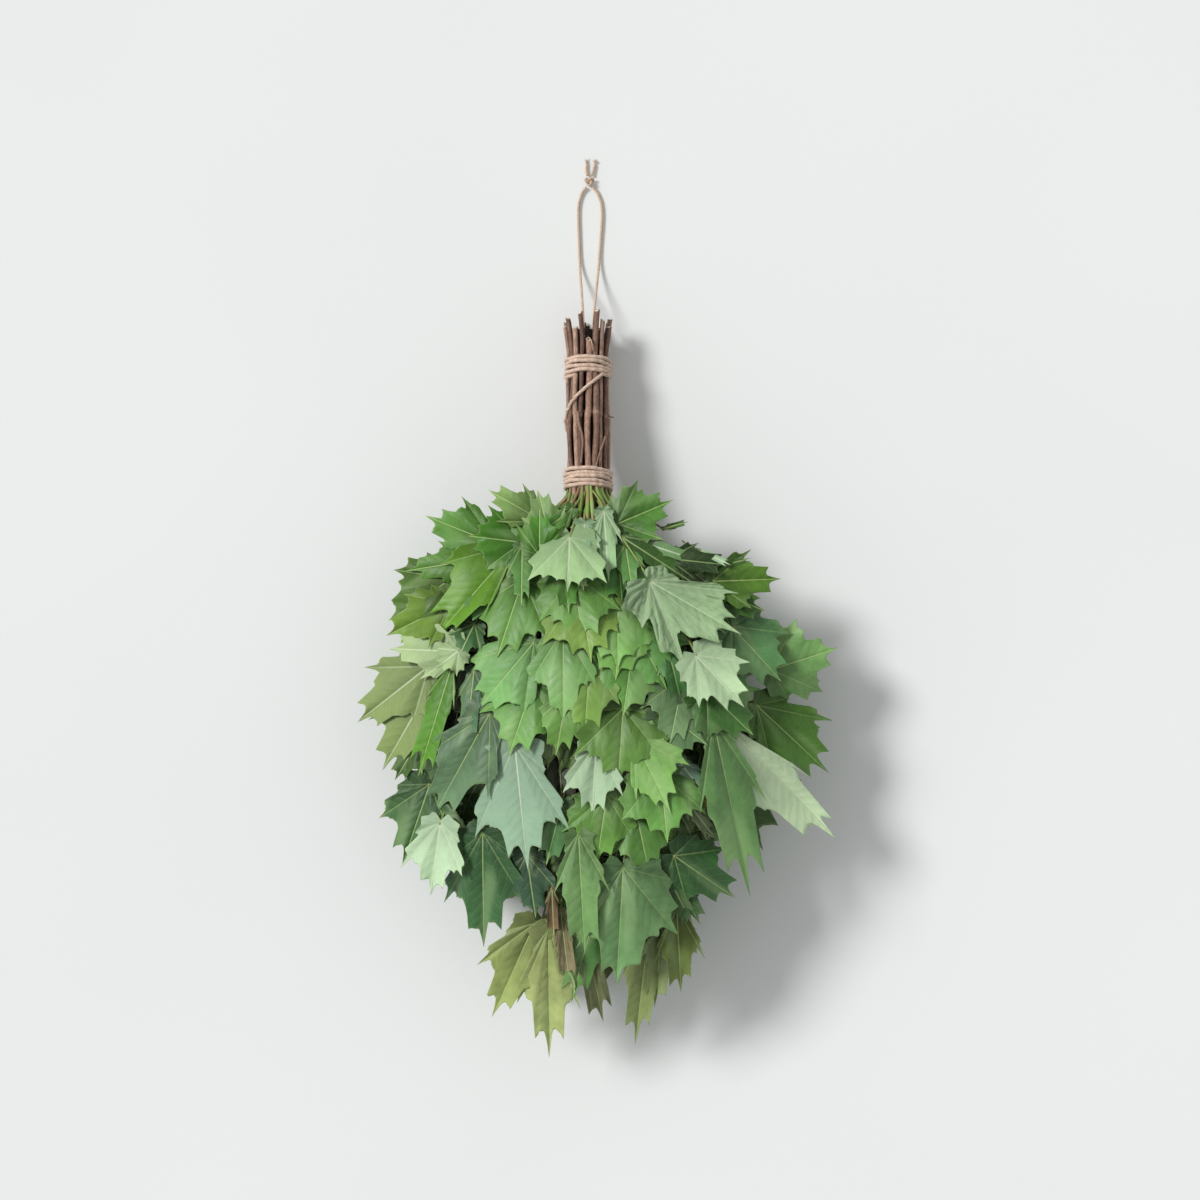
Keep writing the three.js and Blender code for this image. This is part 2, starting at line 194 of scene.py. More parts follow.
def leaf_stalk():
    """Leaf stalk: smooth green skin that blushes red where the sun reached it."""
    made, tree, shader = fresh("leaf_stalk")
    shade = put(tree, "ShaderNodeVertexColor", layer_name="shade")
    place = put(tree, "ShaderNodeTexCoord", out="Object")
    streak = put(tree, "ShaderNodeTexNoise", {"Vector": place, "Scale": 90.0, "Detail": 3.0})
    blush = put(tree, "ShaderNodeValToRGB", [streak], stops=[(0.42, 0.0), (0.66, 0.55)])
    colour = put(tree, "ShaderNodeMix", {0: blush, 6: shade, 7: linear("#b07a64")}, **BLEND)
    tree.links.new(colour, shader.inputs["Base Color"])
    bump = put(tree, "ShaderNodeBump", {"Strength": 0.3, "Distance": MM * 0.3, "Height": streak})
    tree.links.new(bump, shader.inputs["Normal"])
    shader.inputs["Roughness"].default_value = 0.5
    shader.inputs["IOR"].default_value = 1.42
    return made


# ---------------------------------------------------------------- wood and cord materials
def young_bark():
    """Dried bark of young maple shoots: smooth and mauve brown, wrinkled finely
    lengthways as it shrank, with pale pores and a paler scar round each node."""
    made, tree, shader = fresh("young_maple_bark")
    shade = put(tree, "ShaderNodeVertexColor", layer_name="shade")
    place = put(tree, "ShaderNodeTexCoord", out="Object")
    lengthways = put(tree, "ShaderNodeMapping", {"Vector": place, "Scale": (1000, 70, 1000)})
    drawn_out = {"Vector": lengthways, "Scale": 1.5, "Detail": 6.0, "Roughness": 0.65}
    wrinkles = put(tree, "ShaderNodeTexNoise", drawn_out)
    patches = put(tree, "ShaderNodeTexNoise", {"Vector": place, "Scale": 130.0, "Detail": 4.0})
    pores_at = put(tree, "ShaderNodeMapping", {"Vector": place, "Scale": (1000, 420, 1000)})
    pores = put(tree, "ShaderNodeTexVoronoi", {"Vector": pores_at, "Scale": 0.62})
    pore = put(tree, "ShaderNodeMapRange", [pores, 0.10, 0.24, 1.0, 0.0], **SMOOTH)
    tone_stops = [(0.3, "#8a776d"), (0.7, "#fff4ea"), (0.5, "#d3c0b5")]
    tone = put(tree, "ShaderNodeValToRGB", [wrinkles], stops=tone_stops)
    cloud = put(tree, "ShaderNodeValToRGB", [patches], stops=[(0.35, 0.72), (0.68, 1.0)])
    colour = shade
    for mottle in (tone, cloud):
        colour = put(tree, "ShaderNodeMix", {0: 1.0, 6: colour, 7: mottle}, **TINT)
    share = put(tree, "ShaderNodeMath", [pore, 0.35], **TIMES)
    colour = put(tree, "ShaderNodeMix", {0: share, 6: colour, 7: linear("#b8a191")}, **BLEND)
    tree.links.new(colour, shader.inputs["Base Color"])
    height = put(tree, "ShaderNodeMath", [pore, 0.35, wrinkles], **TIMES_PLUS)
    bump = put(tree, "ShaderNodeBump", {"Strength": 0.55, "Distance": MM * 0.45, "Height": height})
    tree.links.new(bump, shader.inputs["Normal"])
    shader.inputs["Roughness"].default_value = 0.68
    shader.inputs["Specular IOR Level"].default_value = 0.35
    return made


def sheared_end():
    """Maple cut across with shears: pale end grain, a little torn, round a brown pith."""
    made, tree, shader = fresh("sheared_maple_end")
    uv = put(tree, "ShaderNodeUVMap", uv_map="veins")
    rim = put(tree, "ShaderNodeSeparateXYZ", [uv], out=1)
    place = put(tree, "ShaderNodeTexCoord", out="Object")
    grain = put(tree, "ShaderNodeTexNoise", {"Vector": place, "Scale": 900.0})
    ring = put(tree, "ShaderNodeMath", [grain, 0.35, rim], **TIMES_PLUS)
    ring_stops = [(0.2, "#a98a6c"), (1.0, "#8d7767"), (0.36, "#ecdcc4"), (0.85, "#dcc6a8")]
    colour = put(tree, "ShaderNodeValToRGB", [ring], stops=ring_stops)
    tree.links.new(colour, shader.inputs["Base Color"])
    bump = put(tree, "ShaderNodeBump", {"Strength": 0.6, "Distance": MM * 0.3, "Height": grain})
    tree.links.new(bump, shader.inputs["Normal"])
    shader.inputs["Roughness"].default_value = 0.85
    return made


def spun_cord(name, light, middle, dark, strand):
    """Cord twisted from retted plant fibre: plies of fine straw-coloured strands, matt,
    with a dusty bloom from the loose fibre ends, and painted shade as dark lines in the grooves where
    the plies meet.
    strand is the width in mm of one bundle of fibres."""
    made, tree, shader = fresh(name)
    uv = put(tree, "ShaderNodeUVMap", uv_map="veins")
    crest = put(tree, "ShaderNodeSeparateXYZ", [uv], out=1)
    skin = put(tree, "ShaderNodeUVMap", uv_map="blade")
    strands_at = put(tree, "ShaderNodeMapping", {"Vector": skin, "Scale": (1 / strand, 0.35, 1)})
    drawn_out = {"Vector": strands_at, "Scale": 1.0, "Detail": 5.0, "Roughness": 0.7}
    strands = put(tree, "ShaderNodeTexNoise", drawn_out)
    patches = put(tree, "ShaderNodeTexNoise", {"Vector": skin, "Scale": 0.22, "Detail": 3.0})
    tone_stops = [(0.25, dark), (0.72, light), (0.48, middle)]
    tone = put(tree, "ShaderNodeValToRGB", [strands], stops=tone_stops)
    cloud = put(tree, "ShaderNodeValToRGB", [patches], stops=[(0.32, 0.80), (0.68, 1.0)])
    colour = put(tree, "ShaderNodeMix", {0: 1.0, 6: tone, 7: cloud}, **TINT)
    # painted shade: dark lines in the grooves between the plies
    groove_shade = put(tree, "ShaderNodeMapRange", [crest, 0.0, 0.5, 0.72, 0.0], **SMOOTH)
    colour = put(tree, "ShaderNodeMix", {0: groove_shade, 6: colour, 7: linear(dark)}, **BLEND)
    tree.links.new(colour, shader.inputs["Base Color"])
    bump = put(tree, "ShaderNodeBump", {"Strength": 0.8, "Distance": MM * 0.35, "Height": strands})
    tree.links.new(bump, shader.inputs["Normal"])
    shader.inputs["Roughness"].default_value = 0.9
    shader.inputs["Sheen Weight"].default_value = 0.25
    shader.inputs["Sheen Roughness"].default_value = 0.6
    return made


LEAF_UPPER = maple_leaf("maple_leaf_upper", False)
LEAF_UNDER = maple_leaf("maple_leaf_underside", True)
STALK = leaf_stalk()
BARK = young_bark()
SHEARED = sheared_end()
JUTE = spun_cord("twisted_jute", "#ffe8d6", "#dfbfa9", "#7a584a", 0.4)
TWINE = spun_cord("twisted_twine", "#efdac4", "#d8baa0", "#9c7a62", 0.3)


# ---------------------------------------------------------------- mesh building
class Parts:
    """Closed shapes and their data, gathered until they become one mesh."""

    def __init__(self):
        self.count = 0
        self.points, self.quads, self.tris = [], [], []
        self.quad_slots, self.tri_slots = [], []
        self.veins, self.blade, self.shade = [], [], []
        self.cells, self.quad_cells, self.tri_cells = 0, [], []

    def add(self, points, quads, tris, slots, veins, blade, shade, cells=None):
        """slots holds the material slot of the quads and of the tris, one or several.

        cells lays the shape out flat in squares of its own: how many, and where the
        corners of the quads and of the tris lie in them.
        """
        self.points.append(points)
        self.quads.append(np.asarray(quads, int).reshape(-1, 4) + self.count)
        self.tris.append(np.asarray(tris, int).reshape(-1, 3) + self.count)
        self.quad_slots.append(np.broadcast_to(slots[0], len(self.quads[-1])))
        self.tri_slots.append(np.broadcast_to(slots[1], len(self.tris[-1])))
        self.veins.append(veins)
        self.blade.append(blade)
        self.shade.append(np.broadcast_to(shade, (len(points), 4)))
        self.count += len(points)
        if cells:
            number, quad_spots, tri_spots = cells
            self.quad_cells.append(quad_spots.reshape(-1, 2) + (self.cells, 0))
            self.tri_cells.append(tri_spots.reshape(-1, 2) + (self.cells, 0))
            self.cells += number

    def flat_layout(self):
        """Every corner's place on one square sheet that holds all the cells."""
        spots = np.concatenate(self.quad_cells + self.tri_cells)
        across = math.ceil(math.sqrt(self.cells))
        cell = np.minimum(np.floor(spots[:, 0] - 1e-9), self.cells - 1)
        cell = np.maximum(cell, 0)
        inside = np.stack([spots[:, 0] - cell, spots[:, 1]], -1)
        corner = np.stack([cell % across, cell // across], -1)
        return (corner + 0.03 + 0.94 * inside) / across


def piece(name, parts, materials, slot, *nodes):
    """Make the gathered parts one object, which rides on the body and replaces nodes."""
    points = np.concatenate(parts.points) * MM
    points[:, 2] = np.maximum(points[:, 2], 0)  # what rests on the floor stays above it
    quads, tris = np.concatenate(parts.quads), np.concatenate(parts.tris)
    corners = np.concatenate([quads.ravel(), tris.ravel()])
    mesh = bpy.data.meshes.new(name)
    mesh.vertices.add(len(points))
    mesh.vertices.foreach_set("co", points.ravel())
    mesh.loops.add(len(corners))
    mesh.loops.foreach_set("vertex_index", corners)
    mesh.polygons.add(len(quads) + len(tris))
    starts = [np.arange(len(quads)) * 4, len(quads) * 4 + np.arange(len(tris)) * 3]
    mesh.polygons.foreach_set("loop_start", np.concatenate(starts))
    slots = np.concatenate(parts.quad_slots + parts.tri_slots)
    mesh.polygons.foreach_set("material_index", slots)
    mesh.update(calc_edges=True)
    layers = {
        "veins": np.concatenate(parts.veins)[corners],
        "blade": np.concatenate(parts.blade)[corners],
    }
    if parts.cells:
        layers["OFBake"] = parts.flat_layout()
    for layer, values in layers.items():
        uv = mesh.uv_layers.new(name=layer)
        uv.data.foreach_set("uv", values.ravel())
    tint = mesh.color_attributes.new("shade", "FLOAT_COLOR", "POINT")
    tint.data.foreach_set("color", np.concatenate(parts.shade).ravel())
    mesh.shade_smooth()
    for material in materials:
        mesh.materials.append(material)
    made = bpy.data.objects.new(name, mesh)
    bpy.context.scene.collection.objects.link(made)
    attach(made, "root")
    if nodes:
        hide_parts(*nodes)
    return made


def smooth_path(points, step):
    """A centripetal Catmull-Rom curve through the points, with a point every step."""
    p = np.asarray(points, float)
    p = np.vstack([2 * p[0] - p[1], p, 2 * p[-1] - p[-2]])
    out = []
    for a, b, c, d in zip(p[:-3], p[1:-2], p[2:-1], p[3:]):
        gaps = [max(np.linalg.norm(v), 1e-6) ** 0.5 for v in (b - a, c - b, d - c)]
        t0, t1, t2, t3 = np.cumsum([0] + gaps)
        count = max(2, round(np.linalg.norm(c - b) / step) + 1)
        for u in np.linspace(t1, t2, count)[:-1]:
            ab = ((t1 - u) * a + (u - t0) * b) / (t1 - t0)
            bc = ((t2 - u) * b + (u - t1) * c) / (t2 - t1)
            cd = ((t3 - u) * c + (u - t2) * d) / (t3 - t2)
            abc = ((t2 - u) * ab + (u - t0) * bc) / (t2 - t0)
            bcd = ((t3 - u) * bc + (u - t1) * cd) / (t3 - t1)
            out.append(((t2 - u) * abc + (u - t1) * bcd) / (t2 - t1))
    out.append(p[-2])
    return np.array(out)


def frames_along(path):
    """Two directions square to the path at each point, turning as little as can be."""
    run = np.gradient(path, axis=0)
    run /= np.linalg.norm(run, axis=1)[:, None]
    start = np.cross(run[0], (0, 0, 1) if abs(run[0][2]) < 0.9 else (1, 0, 0))
    across = [start / np.linalg.norm(start)]
    for direction in run[1:]:
        side = across[-1] - direction * np.dot(across[-1], direction)
        across.append(side / np.linalg.norm(side))
    across = np.array(across)
    return across, np.cross(run, across)


def sweep(
    parts, path, radius, sides, shade=(1, 1, 1, 1), plies=0, lay=8.0, slots=(0, 0),
    ends=(0, 0), cells=False,
):
    """Sweep a round or a plied section along a path.

    radius and shade are one value, or one for each point; lay is the length of one full
    twist; ends is how far the middle of each end stands out; cells asks for a flat layout.
    """
    n = len(path)
    across, square = frames_along(path)
    steps = np.linalg.norm(np.diff(path, axis=0), axis=1)
    run = np.concatenate([[0], np.cumsum(steps)])
    angle = np.arange(sides) * 2 * math.pi / sides
    size = np.broadcast_to(np.asarray(radius, float).reshape(-1, 1), (n, sides)).copy()
    crest = np.ones((n, sides))
    twist = np.zeros((n, 1))
    if plies:
        twist = (run * 2 * math.pi / lay)[:, None]
        crest = np.abs(np.cos(plies / 2 * (angle - twist)))
        size *= 0.76 + 0.24 * crest**0.6
    ring = (
        path[:, None]
        + (size * np.cos(angle))[..., None] * across[:, None]
        + (size * np.sin(angle))[..., None] * square[:, None]
    )
    first, last = path[0] - path[1], path[-1] - path[-2]
    tips = [
        path[0] + first / np.linalg.norm(first) * ends[0],
        path[-1] + last / np.linalg.norm(last) * ends[1],
    ]
    s = np.arange(sides)
    t = (s + 1) % sides
    i = np.arange(n - 1)[:, None] * sides
    quads = np.stack([i + t, i + s, i + s + sides, i + t + sides], -1)
    top = (n - 1) * sides
    tris = np.concatenate([
        np.stack([s, t, np.full(sides, n * sides)], -1),
        np.stack([top + t, top + s, np.full(sides, n * sides + 1)], -1),
    ])
    base = rng.uniform(0, 500)
    veins = np.stack([np.repeat(run, sides), crest.ravel()], -1)
    skin = np.stack([((angle - twist) * size.mean() + base).ravel(), np.repeat(run, sides)], -1)
    if np.ndim(shade) == 2:
        shade = np.vstack([np.repeat(shade, sides, axis=0), shade[:1], shade[-1:]])
    layout = None
    if cells:
        low, high = 0.05 + 0.9 * run[:-1] / run[-1], 0.05 + 0.9 * run[1:] / run[-1]
        here, there = np.meshgrid(low, s / sides, indexing="ij"), (s + 1) / sides
        next_to = np.broadcast_to(there, here[0].shape)
        above = np.broadcast_to(high[:, None], here[0].shape)
        quad_spots = np.stack(
            [next_to, here[0], here[1], here[0], here[1], above, next_to, above], -1
        )
        caps = []
        for rim, tip in ((0.05, 0.0), (0.95, 1.0)):
            flat = (s / sides, 0 * s + rim, there, 0 * s + rim, (s + 0.5) / sides, 0 * s + tip)
            caps.append(np.stack(flat, -1))
        layout = (1, quad_spots, np.concatenate(caps))
    parts.add(
        np.vstack([ring.reshape(-1, 3), tips]),
        quads,
        tris,
        slots,
        np.vstack([veins, [[0, 0], [run[-1], 0]]]),
        np.vstack([skin, [[base, 0], [base, run[-1]]]]),
        shade,
        layout,
    )


# ---------------------------------------------------------------- hanging loop
# Both strands come out between the cut ends, drop to the floor and lie along it.
TWINE_ACROSS = 2.2
TWINE_LAY = 6.5  # mm for one full twist
LOOP_LEFT = [
    (-13.6, 289.2, 26.5), (-13.7, 294, 25.8), (-13.9, 299, 24.6), (-14.2, 305, 22),
    (-14.6, 311, 18.6), (-15, 318, 14.2), (-15.5, 325, 9.8), (-16, 332, 6.1),
    (-16.4, 339, 3.4), (-16.7, 347, 1.8), (-17, 356, 1.3), (-17.3, 365, 1.3),
    (-17.7, 376, 1.3), (-17.9, 387, 1.3), (-16.9, 396, 1.3), (-14.2, 403.4, 1.5),
    (-11.2, 407.2, 1.9),
]
LOOP_RIGHT = [
    (-5.2, 289.2, 26.5), (-5.1, 294, 25.9), (-4.9, 299, 24.9), (-4.5, 305, 22.6),
    (-4, 311, 19.3), (-3.4, 318, 15), (-2.7, 325, 10.5), (-2, 332, 6.6),
    (-1.3, 339, 3.7), (-0.7, 347, 1.9), (0, 356, 1.3), (0.6, 365, 1.3),
    (1.4, 376, 1.3), (1.7, 387, 1.3), (0.5, 396, 1.3), (-2.8, 403.6, 1.5),
    (-6.2, 407.4, 1.9),
]
TAIL_LEFT = [(-10.4, 416.6, 2.2), (-11.2, 420.5, 1.5), (-11.1, 424.5, 1.3), (-10.4, 429, 1.3)]
TAIL_RIGHT = [(-7, 416.6, 2.2), (-5.6, 420.5, 1.5), (-4.6, 424.5, 1.3), (-3.9, 429.6, 1.3)]
KNOT = (-8.75, 412, 2.9)


def fray(parts, tip, direction, hairs, reach, radius, low=0.3):
    """Loose fibre ends that spread from the end of a cord."""
    for _ in range(hairs):
        lean = direction + rng.normal(0, 0.33, 3)
        side = rng.normal(0, 0.25, 3)
        points = [tip + lean * reach * u + side * reach * u * u for u in (-0.15, 0.4, 0.75, 1.0)]
        points = [(p[0], p[1], max(p[2], low)) for p in points]
        sweep(parts, smooth_path(points, reach / 4), radius, 3)


def twine_strand(name, route, node):
    """One strand of the loop, and its route in metres."""
    parts = Parts()
    path = smooth_path(route, 0.6)
    sweep(parts, path, TWINE_ACROSS / 2 * 1.04, 12, plies=2, lay=TWINE_LAY, ends=(0.2, 0.2))
    made = piece(name, parts, [TWINE], "twine", node)
    return made, path * MM


def knot_piece():
    """An overhand knot pulled tight."""
    parts = Parts()
    turn = np.linspace(0, 2 * math.pi, 90)
    trefoil = np.stack(
        [
            np.sin(turn) + 2 * np.sin(2 * turn),
            np.cos(turn) - 2 * np.cos(2 * turn),
            -1.35 * np.sin(3 * turn),
        ],
        -1,
    )
    path = trefoil * (1.18, 1.02, 1.1) + KNOT
    sweep(parts, path, 1.12, 12, plies=2, lay=TWINE_LAY)
    return piece("loop_knot_tied", parts, [TWINE], "twine", "loop_knot")


def tail_piece(name, route, node):
    """A cut end of the twine beyond the knot, untwisting at its tip."""
    parts = Parts()
    path = smooth_path(route, 0.6)
    path = path[: int(len(path) * 0.78)]
    sweep(parts, path, 1.08, 12, plies=2, lay=TWINE_LAY, ends=(0.2, 0.3))
    way = path[-1] - path[-2]
    fray(parts, path[-1], way / np.linalg.norm(way), 16, 3.2, 0.16)
    return piece(name, parts, [TWINE], "twine", node)


left_strand, left_route = twine_strand("loop_left_twine", LOOP_LEFT, "loop_left")
right_strand, right_route = twine_strand("loop_right_twine", LOOP_RIGHT, "loop_right")
knot = knot_piece()
tail_left = tail_piece("tail_left_frayed", TAIL_LEFT, "tail_left")
tail_right = tail_piece("tail_right_frayed", TAIL_RIGHT, "tail_right")


def path_length(path):
    """Length of a path, in its own units."""
    return float(np.linalg.norm(np.diff(path, axis=0), axis=1).sum())


tuple(left_route[0])
path_length(left_route)
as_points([tuple(p) for p in left_route[::4]] + [tuple(left_route[-1])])
tuple(right_route[0])
path_length(right_route)
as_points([tuple(p) for p in right_route[::4]] + [tuple(right_route[-1])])


# ---------------------------------------------------------------- handle
HANDLE_X = -9.6
BUTT_Y = 299
AXIS_BUTT_Z = 20.9
AXIS_RISE = 0.2
RING_R = 14.4
TWIG_END_Y = 118.6
CUT_SHORT = [9, 4, 13, 2, 24, 0, 7, 11, 3, 6, 14, 5, 10, 1, 8, 12, 4]
CUT_SLANT = [
    0.5, -0.4, 0.2, 0.7, -0.2, 0.35, -0.6, 0.3, 0.15, -0.5, 0.4, 0.25, -0.3, 0.6, -0.15,
    0.45, -0.35,
]
TWIG_ACROSS = [
    4.3, 4.1, 4.6, 3.8, 5.3, 4.9, 3.7, 4.7, 4.0, 5.0, 4.4, 4.8, 4.9, 5.0, 4.5, 4.8, 4.3,
]
CUT_LEAN = 0.45  # how far the upper side of a twig is cut shorter, as a share of its height
TILT = math.atan(AXIS_RISE)
BUTT_SPREADS_Y, NECK_SPREADS_Y, SPREAD_LENGTH = 268, 150, 31
NODE_Y = 215.5  # most of the twigs have a node near here


def on_handle(y, side, up):
    """A point beside the handle's centre line: to the right, and square to the line."""
    z = AXIS_BUTT_Z + AXIS_RISE * (BUTT_Y - y)
    return np.array((HANDLE_X + side, y + up * math.sin(TILT), z + up * math.cos(TILT)))


def splay(y):
    """The bundle swells between its bindings, and spreads at the cut ends and the neck."""
    butt = max(0, (y - BUTT_SPREADS_Y) / SPREAD_LENGTH)
    neck = max(0, (NECK_SPREADS_Y - y) / SPREAD_LENGTH)
    swell = 0.08 * math.exp(-(((y - 206) / 17) ** 2))
    squeeze = 0.03 * math.exp(-(((y - 256) / 9) ** 2))
    return 1 + swell - squeeze + 0.3 * butt**1.2 + 0.16 * neck**1.3


def twig(parts, y0, y1, side, up, across, slant, nodes_at, shade, wander=0.45, sides=14):
    """One dried shoot between two places on the handle, crooked a little, with its
    scars. Its ends are cut on a slant."""
    ys = np.linspace(y1, y0, max(12, int((y1 - y0) / 2.2)))
    phase = rng.uniform(0, 6.28, 4)
    knees = rng.normal(0, 0.4, len(nodes_at))
    path, sizes, shades = [], [], []
    dark, pale = np.array(linear(shade)), np.array(linear("#dcc8b6"))
    for y in ys:
        grow = splay(y)
        bow_side = wander * (math.sin(y / 17 + phase[0]) + 0.5 * math.sin(y / 6.3 + phase[1]))
        bow_side += sum(k * math.tanh((y - n) / 2.5) for k, n in zip(knees, nodes_at))
        bow_up = wander * (math.sin(y / 21 + phase[2]) + 0.5 * math.sin(y / 7.1 + phase[3]))
        path.append(on_handle(y, side * grow + bow_side, up * grow + bow_up))
        gap = min(abs(y - n) for n in nodes_at)
        swell = 1 + 0.2 * math.exp(-((gap / 1.9) ** 2))
        sizes.append(across / 2 * swell * (0.94 + 0.06 * (y - y0) / (y1 - y0)))
        scar = 0.85 * math.exp(-((gap / 0.8) ** 2))
        shades.append(dark * (1 - scar) + pale * scar)
    path = np.array(path)
    sweep(parts, path, sizes, sides, np.array(shades), slots=(0, 1), ends=(0.1, 0.1))
    ends = parts.points[-1]
    centre = path[0]
    for i in range(sides):
        lean = (ends[i][0] - centre[0]) * slant - (ends[i][2] - centre[2]) * CUT_LEAN
        ends[i][1] += lean + rng.normal(0, 0.12)
        ends[sides + i][1] += lean * 0.2
    parts.veins[-1][:sides, 1] = 1.0
    # painted shade: a shoot is darker where it faces its neighbours, in the narrow gaps where light
    # falls least
    middle_line = np.array([on_handle(y, 0, 0) for y in ys])
    outward = path - middle_line
    outward /= np.linalg.norm(outward, axis=1)[:, None] + 1e-9
    skin = ends[: len(path) * sides].reshape(-1, sides, 3) - path[:, None]
    skin /= np.linalg.norm(skin, axis=2)[..., None]
    facing = np.einsum("ijk,ik->ij", skin, outward).ravel()
    painted_gap_shade = np.ones((len(ends), 1))
    painted_gap_shade[: len(facing), 0] = 0.42 + 0.58 * np.clip((facing + 0.1) / 0.75, 0, 1)
    parts.shade[-1] = parts.shade[-1] * painted_gap_shade


def node_places():
    """Where along it a twig has its nodes: one in the grip, and one or two further on."""
    first = NODE_Y + rng.normal(0, 1.2)
    out = [first, first - rng.uniform(48, 62)]
    if rng.random() < 0.6:
        out.append(first + rng.uniform(36, 50))
    return out


def side_shoot(parts, places, across, shade):
    """A thin shoot lying over the others, through places of y, to the side and up."""
    path = smooth_path([on_handle(*place) for place in places], 1.5)
    sizes = across / 2 * np.linspace(1.0, 0.7, len(path))
    sweep(parts, path, sizes, 10, linear(shade), ends=(0.1, 0.1))


# Thin shoots that lie over others, the stub of one, and a strip of bark torn from the
# shortest twig when it was cut: the twig it belongs to, its places, thickness and tone.
SIDE_SHOOTS = {
    2: ([(216, -8.4, 17.6), (208, -7.8, 18.1), (194, -4.6, 18.6), (174, -5.6, 17.4)], 2.2, "#b59c8c"),
    6: ([(197, 14.2, 12.4), (186, 10.6, 14.8), (175, 7.2, 16.0), (170, 6.2, 16.0)], 1.8, "#b89f90"),
    8: ([(216, 15.5, 6.0), (214, 18.2, 7.5), (213.2, 20.6, 8.8)], 1.3, "#7d685e"),
    4: ([(275, -1.8, 17.0), (276.6, 0.2, 17.8), (273.6, 2.6, 18.4), (266, 3.6, 18.0)], 1.2, "#f0e0c8"),
}
BARK_SHADES = ["#cdb2a3", "#9a7f73", "#dcc3b2", "#8b7066", "#d0b3a3", "#ad9184"]
for i in range(len(CUT_SHORT)):
    around = math.pi / 2 + (i - 4) * 2 * math.pi / len(CUT_SHORT)
    parts = Parts()
    across = TWIG_ACROSS[i]
    ring = RING_R + (6.0 - across) * 0.3
    twig(
        parts,
        TWIG_END_Y - 6,
        BUTT_Y - CUT_SHORT[i],
        -ring * math.cos(around),
        ring * math.sin(around),
        across,
        CUT_SLANT[i],
        node_places(),
        BARK_SHADES[i % 6],
    )
    if i in SIDE_SHOOTS:
        side_shoot(parts, *SIDE_SHOOTS[i])
    name = f"twig_{i + 1:02d}"
    piece(name + "_shoot", parts, [BARK, SHEARED], "bark", name)

core = Parts()
CORE_SHADED_TONES = ["#4a3c35", "#574740", "#3f332d"]  # darker than the outer twigs: painted shade, so that the gaps between those look dark
core_spots = [(0, 0, 5.2)]
core_spots += [(5.4, a * math.pi / 3 + 0.2, 4.9) for a in range(6)]
core_spots += [(9.9, a * math.pi / 6, 3.7) for a in range(12)]
for ring, a, across in core_spots:
    twig(
        core,
        TWIG_END_Y - 2,
        284 + rng.uniform(-7, 6),
        ring * math.cos(a),
        ring * math.sin(a),
        across,
        rng.uniform(-0.4, 0.4),
        node_places(),
        CORE_SHADED_TONES[rng.integers(3)],
        wander=0.15,
        sides=8,
    )
piece("inner_twig_shoots", core, [BARK, SHEARED], "bark", "inner_twigs")


# ---------------------------------------------------------------- bindings
CORD_ACROSS = 3.0
CORD_TURN_STEPS = 150


def wound(y, turn, inside, lift=0.0):
    """A point on a cord wound round twigs whose outside is so far from the middle."""
    r = inside + CORD_ACROSS / 2 + lift + 0.3 * math.cos(17 * turn)
    return on_handle(y, -r * math.cos(turn), r * math.sin(turn))


def hairs_on(parts, path, count, reach):
    """Fibres that stand off a cord."""
    for _ in range(count):
        i = rng.integers(1, len(path) - 1)
        way = path[i + 1] - path[i - 1]
        out = rng.normal(0, 1, 3)
        out -= way * np.dot(out, way) / np.dot(way, way)
        out /= np.linalg.norm(out)
        way = way / np.linalg.norm(way) * rng.choice((-1, 1))
        root = path[i] + out * CORD_ACROSS * 0.42
        reach_now = reach * rng.uniform(0.4, 1.2)
        bend = rng.normal(0, 0.4, 3)
        points = [
            root + (out * 0.45 * u + way * 0.9 * u + bend * u * u) * reach_now
            for u in (0, 0.35, 0.7, 1)
        ]
        sweep(parts, smooth_path(points, reach_now / 4), 0.09, 3)


def binding(name, top, inside, turns, pitch, node, start, hairs):
    """Cord wound round the handle, each turn beside the last, and both ends tucked in."""
    parts = Parts()
    steps = int(turns * CORD_TURN_STEPS)
    path = []
    phase = rng.uniform(0, 6.28, 4)
    for i in range(steps + 1):
        u = i / steps
        turn = start + u * turns * 2 * math.pi
        y = top - CORD_ACROSS / 2 - u * turns * pitch
        y += 0.34 * math.sin(1.37 * turn + phase[0]) + 0.2 * math.sin(5.3 * turn + phase[1])
        tuck = 3.0 * (max(0, 1 - u * turns * 9) + max(0, 1 - (1 - u) * turns * 9))
        slack = 0.22 * math.sin(2.3 * turn + phase[2]) + 0.16 * math.sin(0.71 * turn + phase[3])
        path.append(wound(y, turn, inside, slack - tuck))
    path = np.array(path)
    sweep(parts, path, CORD_ACROSS / 2 * 1.12, 12, plies=3, lay=8.0, ends=(0.2, 0.2))
    hairs_on(parts, path, hairs, 4.2)
    return piece(name, parts, [JUTE], "jute_cord", node)


binding("upper_binding_cord", 264.8, 16.2, 4.48, 3.5, "upper_binding", -2.2, 340)
binding("lower_binding_cord", 173.2, 16.8, 5.3, 3.2, "lower_binding", -1.9, 460)

